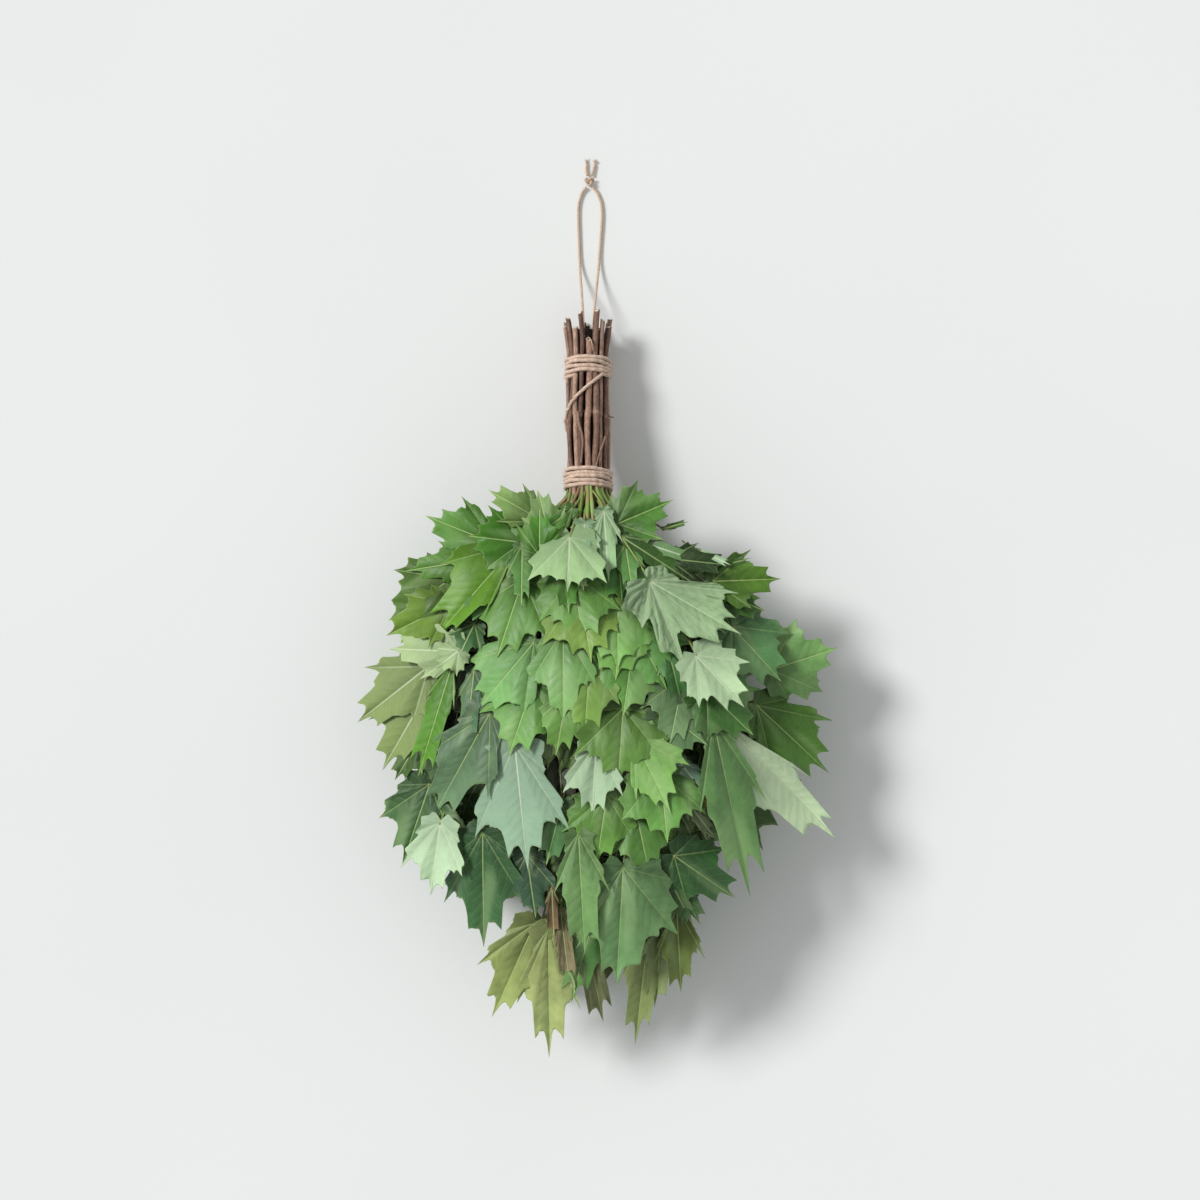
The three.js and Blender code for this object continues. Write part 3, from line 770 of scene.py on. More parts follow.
# One strand leaves the right end of the upper binding, crosses the front, goes round the
# left side and on under the handle to the lower binding.
STRAND_STEPS = 160
STRAND_TOP_Y, STRAND_END_Y = 247.4, 174.6
STRAND_STARTS, STRAND_SLANTS, STRAND_ENDS = 8, 52, 320  # degrees round from the right side
strand = Parts()
strand_path = []
for i in range(STRAND_STEPS + 1):
    turned_by = STRAND_STARTS + (STRAND_ENDS - STRAND_STARTS) * i / STRAND_STEPS
    slanting = max(0, turned_by - STRAND_SLANTS) / (STRAND_ENDS - STRAND_SLANTS)
    y = STRAND_TOP_Y + (STRAND_END_Y - STRAND_TOP_Y) * slanting
    # from the left side on, the twigs do not stand out so far
    inside = RING_R * splay(y) + 2.6 - 1.1 * max(0, min(1, (turned_by - 135) / 30))
    tuck = 2.4 * (max(0, 1 - i / 8) + max(0, 1 - (STRAND_STEPS - i) / 8))
    strand_path.append(wound(y, math.pi - math.radians(turned_by), inside, -tuck))
strand_path = np.array(strand_path)
sweep(strand, strand_path, CORD_ACROSS / 2 * 0.92, 12, plies=2, lay=10.0, ends=(0.2, 0.2))
hairs_on(strand, strand_path, 60, 3.0)
piece("crossing_strand_cord", strand, [JUTE], "jute_cord", "crossing_strand")


# ---------------------------------------------------------------- one leaf
# Half of a maple leaf's edge: the angle in degrees from the middle lobe, and the
# distance as a share of the lobe's length. Points of teeth and notches take turns.
HALF_EDGE = [
    (0, 1.0), (7, 0.80), (17, 0.86), (27, 0.72), (36, 0.79), (42, 0.75), (50, 0.94),
    (60, 0.72), (71, 0.78), (84, 0.58), (97, 0.66), (110, 0.49), (124, 0.5),
    (141, 0.33), (157, 0.28), (174, 0.08), (180, 0.04),
]
MIDDLE_LOBE = 30  # degrees either side; this lobe closes less than the others do
BACK_LOBE = 97
MAIN_VEINS = (0, 50, 97)  # degrees, to each side
VEIN_STRENGTH = np.array((1.0, 0.5, 0.22))
LEAF_THICK = 0.35
# A leaf is darker at its joint, painted shade where the leaf above shades it, and palest at its
# margin, partly its own paler rim and partly a painted highlight along the edge.
BASE_LIGHT_UPPER, BASE_LIGHT_UNDER, TIP_LIGHT = 0.4, 0.6, 1.12
MARGIN_FROM, MARGIN_SHOWS = 0.97, 0.38  # as a share of the way out, and how strongly
# Rings of points from the joint out to the edge: on the largest leaves, on the others at
# the front, and on those further in.
FINE_RINGS = (0.05, 0.16, 0.3, 0.45, 0.6, 0.74, 0.87, 0.97, 1.0)
FRONT_RINGS = (0.07, 0.24, 0.44, 0.63, 0.82, 0.97, 1.0)
PLAIN_RINGS = (0.3, 0.72, 1.0)

# How a leaf is bent, in mm or as shares of its length. bulge: the blade rises between
# its main veins. gutter: its sides rise from the middle vein. roll: its sides turn down.
# droop: its end bends down. raise_tip: how far its end tilts up. ruffle: its edge
# waves. sway: the whole blade waves. crease: sharp wrinkles of a drying leaf. pleat: how
# steeply the blade rises to a ridge between two main veins. notch: how much deeper the
# edge is cut between the lobes. fold: how much narrower its left half looks because it
# hangs under, or its right half if below 0.
FLAT = {
    "bulge": 1.8, "gutter": 0.0, "roll": 0.1, "droop": 0.1, "raise_tip": 12,
    "ruffle": 1.8, "sway": 1.5, "crease": 0.0, "pleat": 0.1, "notch": 0.0, "fold": 0.0,
}


def turned(deg, spread):
    """Angle in radians of a point of the edge, on a leaf whose side lobes hang in."""
    middle = MIDDLE_LOBE * (0.3 + 0.7 * spread)
    tip = 0.57 * middle * (0.6 + 0.4 * spread)
    back = max(BACK_LOBE * spread, middle + 6)
    knots = (0, 17, MIDDLE_LOBE, BACK_LOBE, 180)
    return np.radians(np.interp(deg, knots, (0, tip, middle, back, 180)))


def half_edge(side, spread, notch, between):
    """Angle and distance along one half of the edge, which hollows between its teeth."""
    deg, share = np.array(HALF_EDGE, float).T
    deg[1:-1] += rng.uniform(-0.9, 0.9, len(deg) - 2)
    share[1:-1] *= rng.uniform(0.95, 1.05, len(deg) - 2)
    share *= 1 + (side - 1) * np.clip((deg - 18) / 14, 0, 1)
    share *= 1 - (1 - spread) * 0.9 * np.clip((deg - 60) / 30, 0, 1)
    first_cut = np.exp(-(((deg - 37) / 8) ** 2))
    second_cut = np.exp(-(((deg - 84) / 11) ** 2))
    share *= 1 - notch * first_cut - 0.8 * notch * second_cut
    angle = turned(deg, spread)
    out = []
    for i in range(len(deg) - 1):
        for k in range(between + 1):
            u = k / (between + 1)
            ease = 1 - (1 - u) ** 2.1 if i % 2 == 0 else u**2.1
            nick = rng.normal(0, 0.006) if k else 0
            out.append((
                angle[i] + (angle[i + 1] - angle[i]) * u,
                share[i] + (share[i + 1] - share[i]) * ease + nick,
            ))
    return np.array(out)


def leaf_shape(length, side, spread, form, rings):
    """A leaf lying along +u with its joint at 0: its points, how far it stands up there,
    its place along and off the nearest main vein, that vein's strength, and its rings."""
    between = 1 if rings == PLAIN_RINGS else 3
    bend = {**FLAT, **form}
    hang = rng.uniform(0.92, 1.08, 2) * (1 - max(-bend["fold"], 0), 1 - max(bend["fold"], 0))
    spreads = np.clip(spread * hang, 0.15, 1.05)
    notches = bend["notch"] * np.maximum(0, 2 * spreads - 0.6)
    left, right = [half_edge(side, *each, between) for each in zip(spreads, notches)]
    right[:, 0] *= -1
    base = [[math.pi, 0.04]]
    edge = np.vstack([left, base, right[:0:-1]])
    angle, reach = edge[:, 0], edge[:, 1] * length
    f = np.asarray(rings)[:, None]
    u = np.concatenate([[0], (f * reach * np.cos(angle)).ravel()])
    v = np.concatenate([[0], (f * reach * np.sin(angle)).ravel()])
    far = np.hypot(u, v)
    own = np.concatenate([[0], np.tile(angle, len(rings))])
    veins = zip(*[turned(MAIN_VEINS, each) for each in spreads])
    gaps = np.array([np.abs(np.abs(own) - np.where(own > 0, a, b)) for a, b in veins])
    gap = np.minimum(gaps.min(axis=0), 1.4)
    strength = VEIN_STRENGTH[gaps.argmin(axis=0)]
    along, off = far * np.cos(gap), far * np.sin(gap)
    share = np.concatenate([[0], np.repeat(rings, len(angle))])
    phase = rng.uniform(0, 6.28, 6)
    out = u / length
    slopes = bend["pleat"] * rng.uniform(0.1, 1.9, 6)
    sector = (own > 0) * 3 + np.minimum(np.abs(own) / math.radians(49), 2).astype(int)
    up = bend["bulge"] * (1 - np.exp(-off / 8)) + slopes[sector] * off * np.exp(-off / 60)
    up += bend["gutter"] * np.abs(v) - bend["roll"] * v * v / length
    up -= bend["droop"] * np.maximum(u, 0) * out
    up += bend["raise_tip"] * out
    up += bend["sway"] * np.sin(5.5 * out + phase[0]) * np.cos(2.6 * v / length + phase[1])
    wave = np.sin(7 * own + phase[2]) + 0.6 * np.sin(12 * own + phase[3])
    up += bend["ruffle"] * share**3 * wave * far / length
    if bend["crease"]:
        fold = np.sin(u * 0.55 + 2.2 * np.sin(v * 0.16 + phase[4]) + phase[5])
        up += bend["crease"] * (1 - np.abs(fold)) * np.minimum(1, off / 5)
    return u, v, up, along, off, share, strength, len(angle), len(rings)


def add_leaf(parts, shape, place, colour, flip):
    """Add a leaf to the parts. place turns its local points into x, y and z."""
    u, v, up, along, off, share, strength, n, rings = shape
    top = place(u, v, up)
    under = place(u, v, up - LEAF_THICK)
    k = np.arange(n)
    k1 = (k + 1) % n
    ring = 1 + np.arange(rings - 1)[:, None] * n
    face = np.stack([ring + k, ring + n + k, ring + n + k1, ring + k1], -1).reshape(-1, 4)
    fan = np.stack([np.zeros(n, int), 1 + k, 1 + k1], -1)
    half = len(u)
    rim0, rim1 = 1 + (rings - 1) * n + k, 1 + (rings - 1) * n + k1
    rim = np.stack([rim0, half + rim0, half + rim1, rim1], -1)
    upper, lower = (1, 0) if flip else (0, 1)
    rows, fans = len(face), len(fan)
    tone = np.array(linear(colour)) * (1, 1, 1, 0) * rng.uniform(0.93, 1.07)
    # the margin's tint is partly a paler rim and partly a painted highlight where light catches the
    # edge
    rim_tint_and_highlight = np.array(linear("#a9c47c")) * (1, 1, 1, 0)
    at_base = BASE_LIGHT_UNDER if flip else BASE_LIGHT_UPPER
    light = (at_base + (TIP_LIGHT - at_base) * np.clip(u / max(u), 0, 1) ** 0.85)[:, None]
    edge = np.clip((share - MARGIN_FROM) / (1 - MARGIN_FROM), 0, 1)[:, None] * MARGIN_SHOWS
    shade = tone * light * (1 - edge) + rim_tint_and_highlight * edge
    shade[:, 3] = strength
    plan = np.stack([u, v], -1) + rng.uniform(0, 900, 2)
    scale = 2.05 * max(np.hypot(u, v))
    cell = np.clip(np.stack([u, v], -1) / scale + 0.5, 0, 1)
    parts.add(
        np.vstack([top, under]),
        np.vstack([face, half + face[:, ::-1], rim]),
        np.vstack([fan, half + fan[:, ::-1]]),
        (
            np.repeat((upper, lower, upper), (rows, rows, n)),
            np.repeat((upper, lower), (fans, fans)),
        ),
        np.tile(np.stack([along, off], -1), (2, 1)),
        np.vstack([plan, plan + 400]),
        np.vstack([shade, shade]),
        (
            2,
            np.vstack([cell[face], cell[face[:, ::-1]] + (1, 0), cell[rim % half]]),
            np.vstack([cell[fan], cell[fan[:, ::-1]] + (1, 0)]),
        ),
    )
    return top


def laid(x, y, turn, surface, lift):
    """A leaf that lies over a surface, its joint at x, y and its middle lobe turned so
    many degrees from straight down the bundle."""
    heading = math.radians(turn - 90)
    c, s = math.cos(heading), math.sin(heading)

    def place(u, v, up):
        px, py = x + u * c - v * s, y + u * s + v * c
        z = surface(px, py) + lift + up
        z = np.where(z > CEILING, CEILING + PRESSED * np.tanh((z - CEILING) / PRESSED), z)
        return np.stack([px, py, np.maximum(z, 0.1)], -1)

    return place


def standing(joint, ahead, normal, floor):
    """A leaf in its own plane. Where it would pass through the floor, it lies on it."""
    ahead = ahead - normal * np.dot(ahead, normal)
    ahead /= np.linalg.norm(ahead)
    across = np.cross(normal, ahead)

    def place(u, v, up):
        p = joint + u[:, None] * ahead + v[:, None] * across + up[:, None] * normal
        p[:, 2] = np.where(p[:, 2] < floor, floor + 0.02 * (p[:, 2] - floor), p[:, 2])
        p[:, 2] = np.maximum(p[:, 2], 0.1)
        return p

    return place


# ---------------------------------------------------------------- head of leaves
HEAD_Y, HEAD_A, HEAD_B = -60, 165, 215  # its middle, and half its width and length
NECK = np.array((-10.0, 160.0, 48.0))  # where the stalks gather
LEVEL_STEP = 3.3
CEILING = 130  # above this the leaves press closer together
PRESSED = 14  # mm above the ceiling that none of them passes
RIM_Z, DOME_RISE = 22, 108  # the head's upper surface, at its rim and from there to the top
BOWL_RISE = 24  # how far the underside lifts off the floor at the rim
NECK_CLEAR_Y, RIM_CLEAR_Y = 128, 96  # leaves further in, and at the rim, end below these
SEED_TURN = 2.39996  # radians from one seed of a sunflower to the next


def rho(x, y):
    """How far out over the head a place lies: 0 in the middle, 1 at the rim."""
    return np.hypot(x / HEAD_A, (y - HEAD_Y) / HEAD_B)


def dome(x, y):
    """Height of the head's upper surface."""
    return RIM_Z + DOME_RISE / (1 + (rho(x, y) / 0.92) ** 3.1)


def bowl(x, y):
    """Height of the head's underside, which lies flat on the floor in the middle."""
    return 0.5 + BOWL_RISE * (np.maximum(0, rho(x, y) - 0.45) / 0.55) ** 2


def stalk(parts, joint, length, sink, colour, step=4, radius=0.85):
    """A leaf stalk, from the joint towards the neck, dipping under the leaves above."""
    way = NECK[:2] - joint[:2]
    far = np.linalg.norm(way)
    reach = min(length, far * 0.9)
    way = way / max(far, 1)
    bow = rng.uniform(-0.08, 0.08) * reach
    points = []
    for u in (-0.06, 0, 0.25, 0.5, 0.75, 1):
        x, y = joint[:2] + way * reach * u + np.array((-way[1], way[0])) * bow * u * (1 - u) * 4
        points.append((x, y, max(joint[2] - 0.5 - sink * max(u, 0) ** 1.3, radius)))
    path = smooth_path(points, step)
    sizes = radius * (1 + 0.35 * np.exp(-np.linspace(0, 9, len(path))))
    sweep(parts, path, sizes, 7, linear(colour), slots=(2, 2), ends=(0.3, 0.3), cells=True)


CURLED = {"bulge": 3.0, "roll": 0.35, "droop": 0.12, "ruffle": 3.0, "sway": 2.6, "pleat": 0.14}
ROLLED = {"bulge": 1.2, "roll": 1.1, "droop": 0.1, "ruffle": 1.0}
GUTTER = {"gutter": 0.2, "bulge": 2.6, "roll": 0.15, "ruffle": 2.8, "sway": 2.4, "pleat": 0.14}
WRINKLED = {"bulge": 2.2, "roll": 0.2, "ruffle": 2.8, "crease": 3.0, "sway": 2.8, "notch": 0.18}
DROOPING = {"bulge": 2.4, "roll": 0.3, "droop": 0.26, "raise_tip": 19, "sway": 2.0}
TORN_IN = {**WRINKLED, "notch": 0.34, "crease": 3.6, "pleat": 0.2}
LIFTED = {
    "gutter": 0.1, "bulge": 2.6, "roll": 0.2, "raise_tip": 26, "ruffle": 2.6, "sway": 2.4,
    "pleat": 0.14,
}


def folded(form, fold):
    """The same form with one half hanging under."""
    return {**form, "fold": fold}


# Leaves that the CAD model holds, bottom-most first: name, place of the joint, turn,
# length, share and spread of the side lobes, colour, underside up, form.
NAMED_LEAVES = [
    ("tip_middle", -41, -194, 0, 108, 0.7, 0.36, "#c6d486", 0, GUTTER),
    ("tip_right", 39, -189, -6, 103, 0.58, 0.3, "#9aaa68", 0, CURLED),
    ("tip_far_right", 61, -177, 3, 71, 0.7, 0.45, "#76893c", 0, GUTTER),
    ("dark_right", 58, -134, 54, 62, 0.75, 0.8, "#457a40", 0, CURLED),
    ("tip_left", -93, -117, 0, 94, 0.8, 0.55, "#4a7a48", 0, CURLED),
    ("low_middle", 18, -143, -3, 96, 0.8, 0.85, "#80b070", 0, folded(LIFTED, 0.45)),
    ("low_left", -127, -110, -8, 60, 0.85, 0.6, "#d0eec0", 1, GUTTER),
    ("edge_left_low", -138, -6, -30, 75, 0.75, 0.6, "#859a3e", 1, CURLED),
    ("edge_left", -137, 14, -52, 74, 0.75, 0.7, "#86993f", 1, CURLED),
    ("edge_right_low", 125, -17, 47, 83, 0.8, 0.6, "#5c9034", 0, CURLED),
    ("edge_right", 137, 11, 108, 57, 0.9, 0.85, "#84b668", 0, CURLED),
    ("edge_right_high", 105, 46, 42, 60, 0.85, 0.85, "#679e60", 0, CURLED),
    ("pale_right", 100, -32, 44, 132, 0.66, 0.55, "#e6ffcc", 1, folded(LIFTED, -0.7)),
    ("long_right", 89, -28, 12, 145, 0.55, 0.34, "#7cae66", 0, LIFTED),
    ("pale_back", -67, -47, 6, 101, 0.86, 0.5, "#9fc4a2", 1, FLAT),
    ("bright_right", 26, -40, 26, 68, 0.8, 0.75, "#9cd870", 0, folded(LIFTED, 0.45)),
    ("side_right", 90, 82, 92, 55, 0.75, 0.75, "#5e8a2c", 0, GUTTER),
    ("bright_left", -117, 18, -17, 97, 0.4, 0.3, "#5f9e24", 0, ROLLED),
    ("large_left", -52, 34, -40, 73, 0.9, 0.62, "#84be6c", 0, DROOPING),
    ("large_middle", -29, 44, 0, 75, 0.8, 0.6, "#8cc66e", 0, DROOPING),
    ("crinkled_right", 39, 82, 60, 86, 0.95, 0.75, "#b2d49a", 1, folded(TORN_IN, -0.5)),
    ("shoulder_top", -84, 112, -112, 62, 0.8, 0.6, "#5f9836", 0, CURLED),
    ("shoulder_left", -96, 100, -81, 61, 0.7, 0.6, "#5c9030", 0, ROLLED),
    ("sweep_left", -66, 112, -41, 101, 0.7, 0.6, "#689e20", 0, folded(GUTTER, -0.6)),
    ("neck_left", -46, 130, -120, 51, 0.75, 0.6, "#86aa5a", 0, CURLED),
    ("neck_right", 14, 128, 113, 49, 0.85, 0.8, "#5a9038", 0, GUTTER),
    ("neck_top", 3, 139, 4, 58, 0.55, 0.5, "#a2c88c", 1, WRINKLED),
]
# How far some blades stand above their solids, in steps of the leaves' levels.
STANDS_UP = {
    "neck_top": 1.6, "large_left": 1.2, "large_middle": 1.0, "bright_right": 1.2,
    "neck_right": 0.8, "shoulder_top": 0.8, "crinkled_right": 0.6, "low_left": 1.3,
}
FLOOR_LEAVES = [
    ("floor_low", 4, -120, 4, 104, 0.9, 0.85, "#6a8f4c", 1, FLAT),
    ("floor_middle", -4, 14, -3, 104, 0.9, 0.85, "#6f9550", 1, FLAT),
    ("floor_low_left", -84, -52, -28, 100, 0.9, 0.8, "#668c4c", 1, FLAT),
    ("floor_low_right", 84, -52, 30, 100, 0.9, 0.8, "#5f8744", 1, FLAT),
    ("floor_left", -62, 76, -40, 92, 0.85, 0.8, "#6b9348", 1, FLAT),
    ("floor_right", 52, 76, 42, 92, 0.85, 0.8, "#5f8844", 1, FLAT),
]

# More leaves at the front, between those: place of the joint, turn, length, share and
# spread of the side lobes, level above the head's surface, colour, underside up, form.
FRONT_LEAVES = [
    (-52, -190, -24, 87, 0.72, 0.5, -0.5, "#b0c070", 0, GUTTER),
    (-58, -134, 8, 52, 0.8, 0.6, -0.5, "#42664a", 0, CURLED),
    (54, -146, 30, 52, 0.7, 0.6, 0.9, "#43683a", 0, CURLED),
    (48, -140, 27, 60, 0.4, 0.4, 1.6, "#3f6630", 0, ROLLED),
    (-4, -178, -14, 80, 0.6, 0.5, 0.9, "#5f944a", 0, CURLED),
    (-14, -186, 11, 88, 0.45, 0.4, -0.3, "#7f8458", 0, WRINKLED),
    (-31, -178, 6, 63, 0.4, 0.4, 1.2, "#a89a74", 0, WRINKLED),
    (-38, -160, 2, 40, 0.4, 0.4, 1.0, "#85684c", 0, WRINKLED),
    (-17, -116, 3, 97, 0.55, 0.42, 2.7, "#86b66c", 0, LIFTED),
    (50, -186, -5, 74, 0.55, 0.4, -0.2, "#93a368", 0, GUTTER),
    (-87, -22, -29, 102, 0.7, 0.5, 0.3, "#74996f", 0, GUTTER),
    (-136, -80, -19, 70, 0.8, 0.75, 0.2, "#4f7a44", 0, CURLED),
    (-145, -45, -31, 38, 0.8, 0.7, -0.3, "#4b6e30", 0, CURLED),
    (-112, 26, -92, 58, 0.7, 0.7, 2.4, "#b4cc8c", 1, CURLED),
    (-112, 27, -52, 24, 0.9, 0.9, 3.2, "#b4d08c", 1, CURLED),
    (-120, 84, -56, 61, 0.85, 0.8, 0.9, "#5a802e", 0, CURLED),
    (-119, 64, -64, 59, 0.75, 0.7, 1.4, "#7ea438", 0, GUTTER),
    (-100, 12, -6, 61, 0.5, 0.45, 0.2, "#4c7a50", 0, ROLLED),
    (-100, 48, -25, 28, 0.9, 0.8, 1.4, "#4a7844", 0, FLAT),
    (-80, 100, -8, 46, 0.5, 0.5, 0.4, "#4a7f50", 0, ROLLED),
    (-78, 80, -50, 42, 0.8, 0.7, 1.4, "#5c9452", 0, CURLED),
    (-61, 84, -18, 66, 0.9, 0.85, 2.2, "#74ac4e", 0, DROOPING),
    (-21, 88, 8, 58, 0.9, 0.85, 3.2, "#7cb454", 0, DROOPING),
    (-16, 76, 9, 60, 0.95, 0.85, 2.6, "#96be58", 0, DROOPING),
    (-28, 96, 5, 40, 0.8, 0.7, 3.6, "#5a8f3e", 0, CURLED),
    (-18, 97, 13, 24, 0.6, 0.6, 3.9, "#a5bf74", 1, CURLED),
    (14, 110, 4, 46, 1.0, 1.0, 2.2, "#4f8a38", 0, CURLED),
    (14, 70, 0, 58, 1.0, 0.95, 1.9, "#84be60", 0, DROOPING),
    (16, 60, -4, 57, 0.95, 0.9, 1.3, "#80b858", 0, DROOPING),
    (24, 50, 28, 62, 0.95, 0.9, 0.9, "#72ac58", 0, DROOPING),
    (26, 32, -8, 57, 1.0, 0.95, 0.6, "#6ca84a", 0, DROOPING),
    (-52, 2, -19, 61, 0.9, 0.85, 0.6, "#78b254", 0, DROOPING),
    (-26, -6, -10, 50, 0.8, 0.75, 0.7, "#7aae50", 0, DROOPING),
    (-8, 20, -4, 61, 0.75, 0.75, 1.2, "#8ebc54", 0, DROOPING),
    (18, -18, -4, 61, 0.95, 0.85, 0.4, "#6c9c42", 0, GUTTER),
    (30, -32, 2, 54, 0.8, 0.75, -1.8, "#a3c49c", 1, FLAT),
    (-3, -46, -3, 59, 0.85, 0.6, 1.0, "#c2e2b4", 1, GUTTER),
    (5, -86, -8, 56, 0.85, 0.8, 0.8, "#78b04c", 0, DROOPING),
    (28, -98, 12, 52, 0.9, 0.8, 0.3, "#6ca24a", 0, DROOPING),
    (-30, -92, -14, 52, 0.8, 0.7, -0.4, "#568a4c", 0, CURLED),
    (50, -20, 52, 44, 1.1, 0.95, 1.8, "#6f9662", 0, FLAT),
    (47, -68, 6, 56, 0.95, 0.85, 0.8, "#7cba58", 0, LIFTED),
    (75, -78, 52, 37, 0.7, 0.6, 0.9, "#b4a840", 0, CURLED),
    (67, -90, 38, 38, 0.5, 0.5, 0.5, "#7f8b58", 1, WRINKLED),
    (62, -60, 40, 40, 0.6, 0.5, 0.7, "#6f9c80", 1, ROLLED),
    (66, 8, -12, 58, 0.8, 0.75, 1.2, "#7ca06c", 0, FLAT),
    (84, -4, 46, 52, 0.9, 0.85, 3.6, "#538a3e", 0, CURLED),
    (75.5, 23.4, 43, 56, 0.8, 0.8, 4.5, "#d4f4bc", 1, LIFTED),
    (52, 34, 14, 52, 0.6, 0.5, 1.6, "#5c9850", 0, CURLED),
    (16, 118, 57, 68, 0.35, 0.4, 2.6, "#3f6826", 0, ROLLED),
    (36, 112, 72, 38, 0.5, 0.45, 2.2, "#5f9040", 1, ROLLED),
    (54, 100, 84, 50, 0.6, 0.6, 3.0, "#2c4a1e", 0, CURLED),
    (88, 76, 68, 48, 0.8, 0.7, 2.2, "#3f6c24", 0, CURLED),
    (79, 107, 64, 29, 0.35, 0.3, 3.2, "#a2c69a", 1, ROLLED),
    (88, 92, 105, 34, 0.3, 0.3, 2.8, "#4a7030", 0, ROLLED),
    (62, 72, 50, 50, 0.8, 0.7, 2.0, "#4c7e40", 0, CURLED),
    (20, 112, 8, 38, 0.7, 0.6, 2.4, "#70aa56", 0, DROOPING),
    (-24, 117, -2, 44, 1.15, 0.85, 4.6, "#a8ce88", 1, LIFTED),
    (-12, 128, -6, 34, 0.8, 0.7, 3.4, "#92be86", 1, WRINKLED),
    (-22, 140, -52, 36, 0.6, 0.6, 3.4, "#649e3e", 0, CURLED),
    (-40, 116, -166, 41, 0.8, 0.7, 3.4, "#84aa5e", 0, CURLED),
    (-48, 102, 180, 38, 0.9, 0.7, 5.0, "#4c8c20", 0, CURLED),
    (-62, 113, -97, 44, 1.0, 0.8, 3.2, "#4f8e26", 0, CURLED),
    (-62, 112, 0, 50, 0.6, 0.45, 4.0, "#5d9642", 0, ROLLED),
    (50, 124, 105, 22, 0.4, 0.4, 0.9, "#4a6c30", 0, GUTTER),
    # The last six, nearly black and sunk below the head's surface, are painted shade: dark leaves that
    # darken the hollows between the front leaves.
    (-104, 40, -14, 76, 0.8, 0.7, -4.6, "#28341f", 0, CURLED),
    (-112, -10, -8, 62, 0.8, 0.7, -4.8, "#26301e", 0, CURLED),
    (82, 4, 6, 66, 0.8, 0.7, -4.6, "#26331f", 0, CURLED),
    (20, -96, 2, 66, 0.8, 0.7, -4.4, "#33291d", 0, CURLED),
    (-34, -34, 4, 66, 0.8, 0.7, -4.2, "#2a281c", 0, CURLED),
    (48, 76, 18, 60, 0.8, 0.7, -4.2, "#28351f", 0, CURLED),
]


def leaf_level(node):
    """How many steps above the head's surface the CAD leaf lies."""
    spots = np.array([v.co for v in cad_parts[node].data.vertices]) / MM
    surface = bowl if "floor" in node else dome
    return float(np.mean(spots[:, 2] - surface(spots[:, 0], spots[:, 1]))) / LEVEL_STEP


# A map of the head seen from above, true wherever a front leaf lies. Leaves further in
# and lower down stay inside it.
MAP_STEP = 3.0
MAP_X, MAP_Y = np.arange(-220, 221, MAP_STEP), np.arange(-330, 211, MAP_STEP)
head_map = np.zeros((len(MAP_X), len(MAP_Y)), bool)


def mark(outline):
    """Add the inside of a closed outline to the map."""
    x, y = MAP_X[:, None], MAP_Y[None, :]
    inside = np.zeros_like(head_map)
    for (x0, y0), (x1, y1) in zip(outline, np.roll(outline, -1, axis=0)):
        if y0 != y1:
            inside ^= ((y0 > y) != (y1 > y)) & (x < (x1 - x0) * (y - y0) / (y1 - y0) + x0)
    head_map[inside] = True


def within(points):
    """Whether every point lies over a front leaf or well inside the head."""
    i = np.clip(np.rint((points[:, 0] - MAP_X[0]) / MAP_STEP).astype(int), 0, len(MAP_X) - 1)
    j = np.clip(np.rint((points[:, 1] - MAP_Y[0]) / MAP_STEP).astype(int), 0, len(MAP_Y) - 1)
    return bool(np.all(head_map[i, j] | (rho(points[:, 0], points[:, 1]) < 0.6)))


LEAF_MATERIALS = [LEAF_UPPER, LEAF_UNDER, STALK]


def front_leaf(
    parts, x, y, turn, length, side, spread, level, colour, flip, form, rings=FINE_RINGS
):
    """A leaf on the head's upper surface, with its stalk."""
    shape = leaf_shape(length, side, spread, form, rings)
    lift = level * LEVEL_STEP
    top = add_leaf(parts, shape, laid(x, y, turn, dome, lift), colour, flip)
    edge_points = shape[7]
    mark(top[-edge_points:, :2])
    stalk(parts, top[0], 0.5 * length, 22, "#7d9a4c")


def floor_leaf(parts, x, y, turn, length, side, spread, level, colour, flip, form):
    """A leaf under the head, pressed flat on the floor."""
    lying = {**form, "raise_tip": 0.0, "droop": 0.0}
    shape = leaf_shape(length, side, spread, lying, FRONT_RINGS)
    add_leaf(parts, shape, laid(x, y, turn, bowl, level * LEVEL_STEP), colour, flip)


for rows, build in ((NAMED_LEAVES, front_leaf), (FLOOR_LEAVES, floor_leaf)):
    for name, x, y, turn, length, side, spread, colour, flip, form in rows:
        parts = Parts()
        node = f"leaf_{name}"
        level = leaf_level(node) + STANDS_UP.get(name, 0.0)
        build(parts, x, y, turn, length, side, spread, level, colour, flip, form)
        piece(f"{node}_blade", parts, LEAF_MATERIALS, "leaf", node)

for half, rows in enumerate((FRONT_LEAVES[::2], FRONT_LEAVES[1::2])):
    parts = Parts()
    for row in rows:
        front_leaf(parts, *row, rings=FRONT_RINGS)
    piece(f"front_leaves_{half + 1}", parts, LEAF_MATERIALS, "leaf", "inner_leaves")


def zone_colour(x, y, depth_shade):
    """Leaves are bright in the middle, yellower at the upper left, darker at the right
    and olive at the end. Leaves further in are darkened by the given share: painted shade for leaves
    that lie under others."""
    if y < -150:
        choices = ["#7a8c48", "#87994f", "#6b7d42", "#66824a"]
    elif x < -80 and y > -20:
        choices = ["#6d9440", "#7d9b4b", "#5e8a34", "#839b46"]
    elif x < -60:
        choices = ["#54794c", "#5f8a58", "#4f7350", "#6a9160"]
    elif x > 60:
        choices = ["#4f7634", "#5a803d", "#5c8a56", "#4b6f30"]
    else:
        choices = ["#6f9c48", "#7aa650", "#668e48", "#85af5c"]
    code = choices[rng.integers(len(choices))]
    parts = [int(code[i : i + 2], 16) * (1 - depth_shade) for i in (1, 3, 5)]
    return "#" + "".join(f"{round(p):02x}" for p in parts)


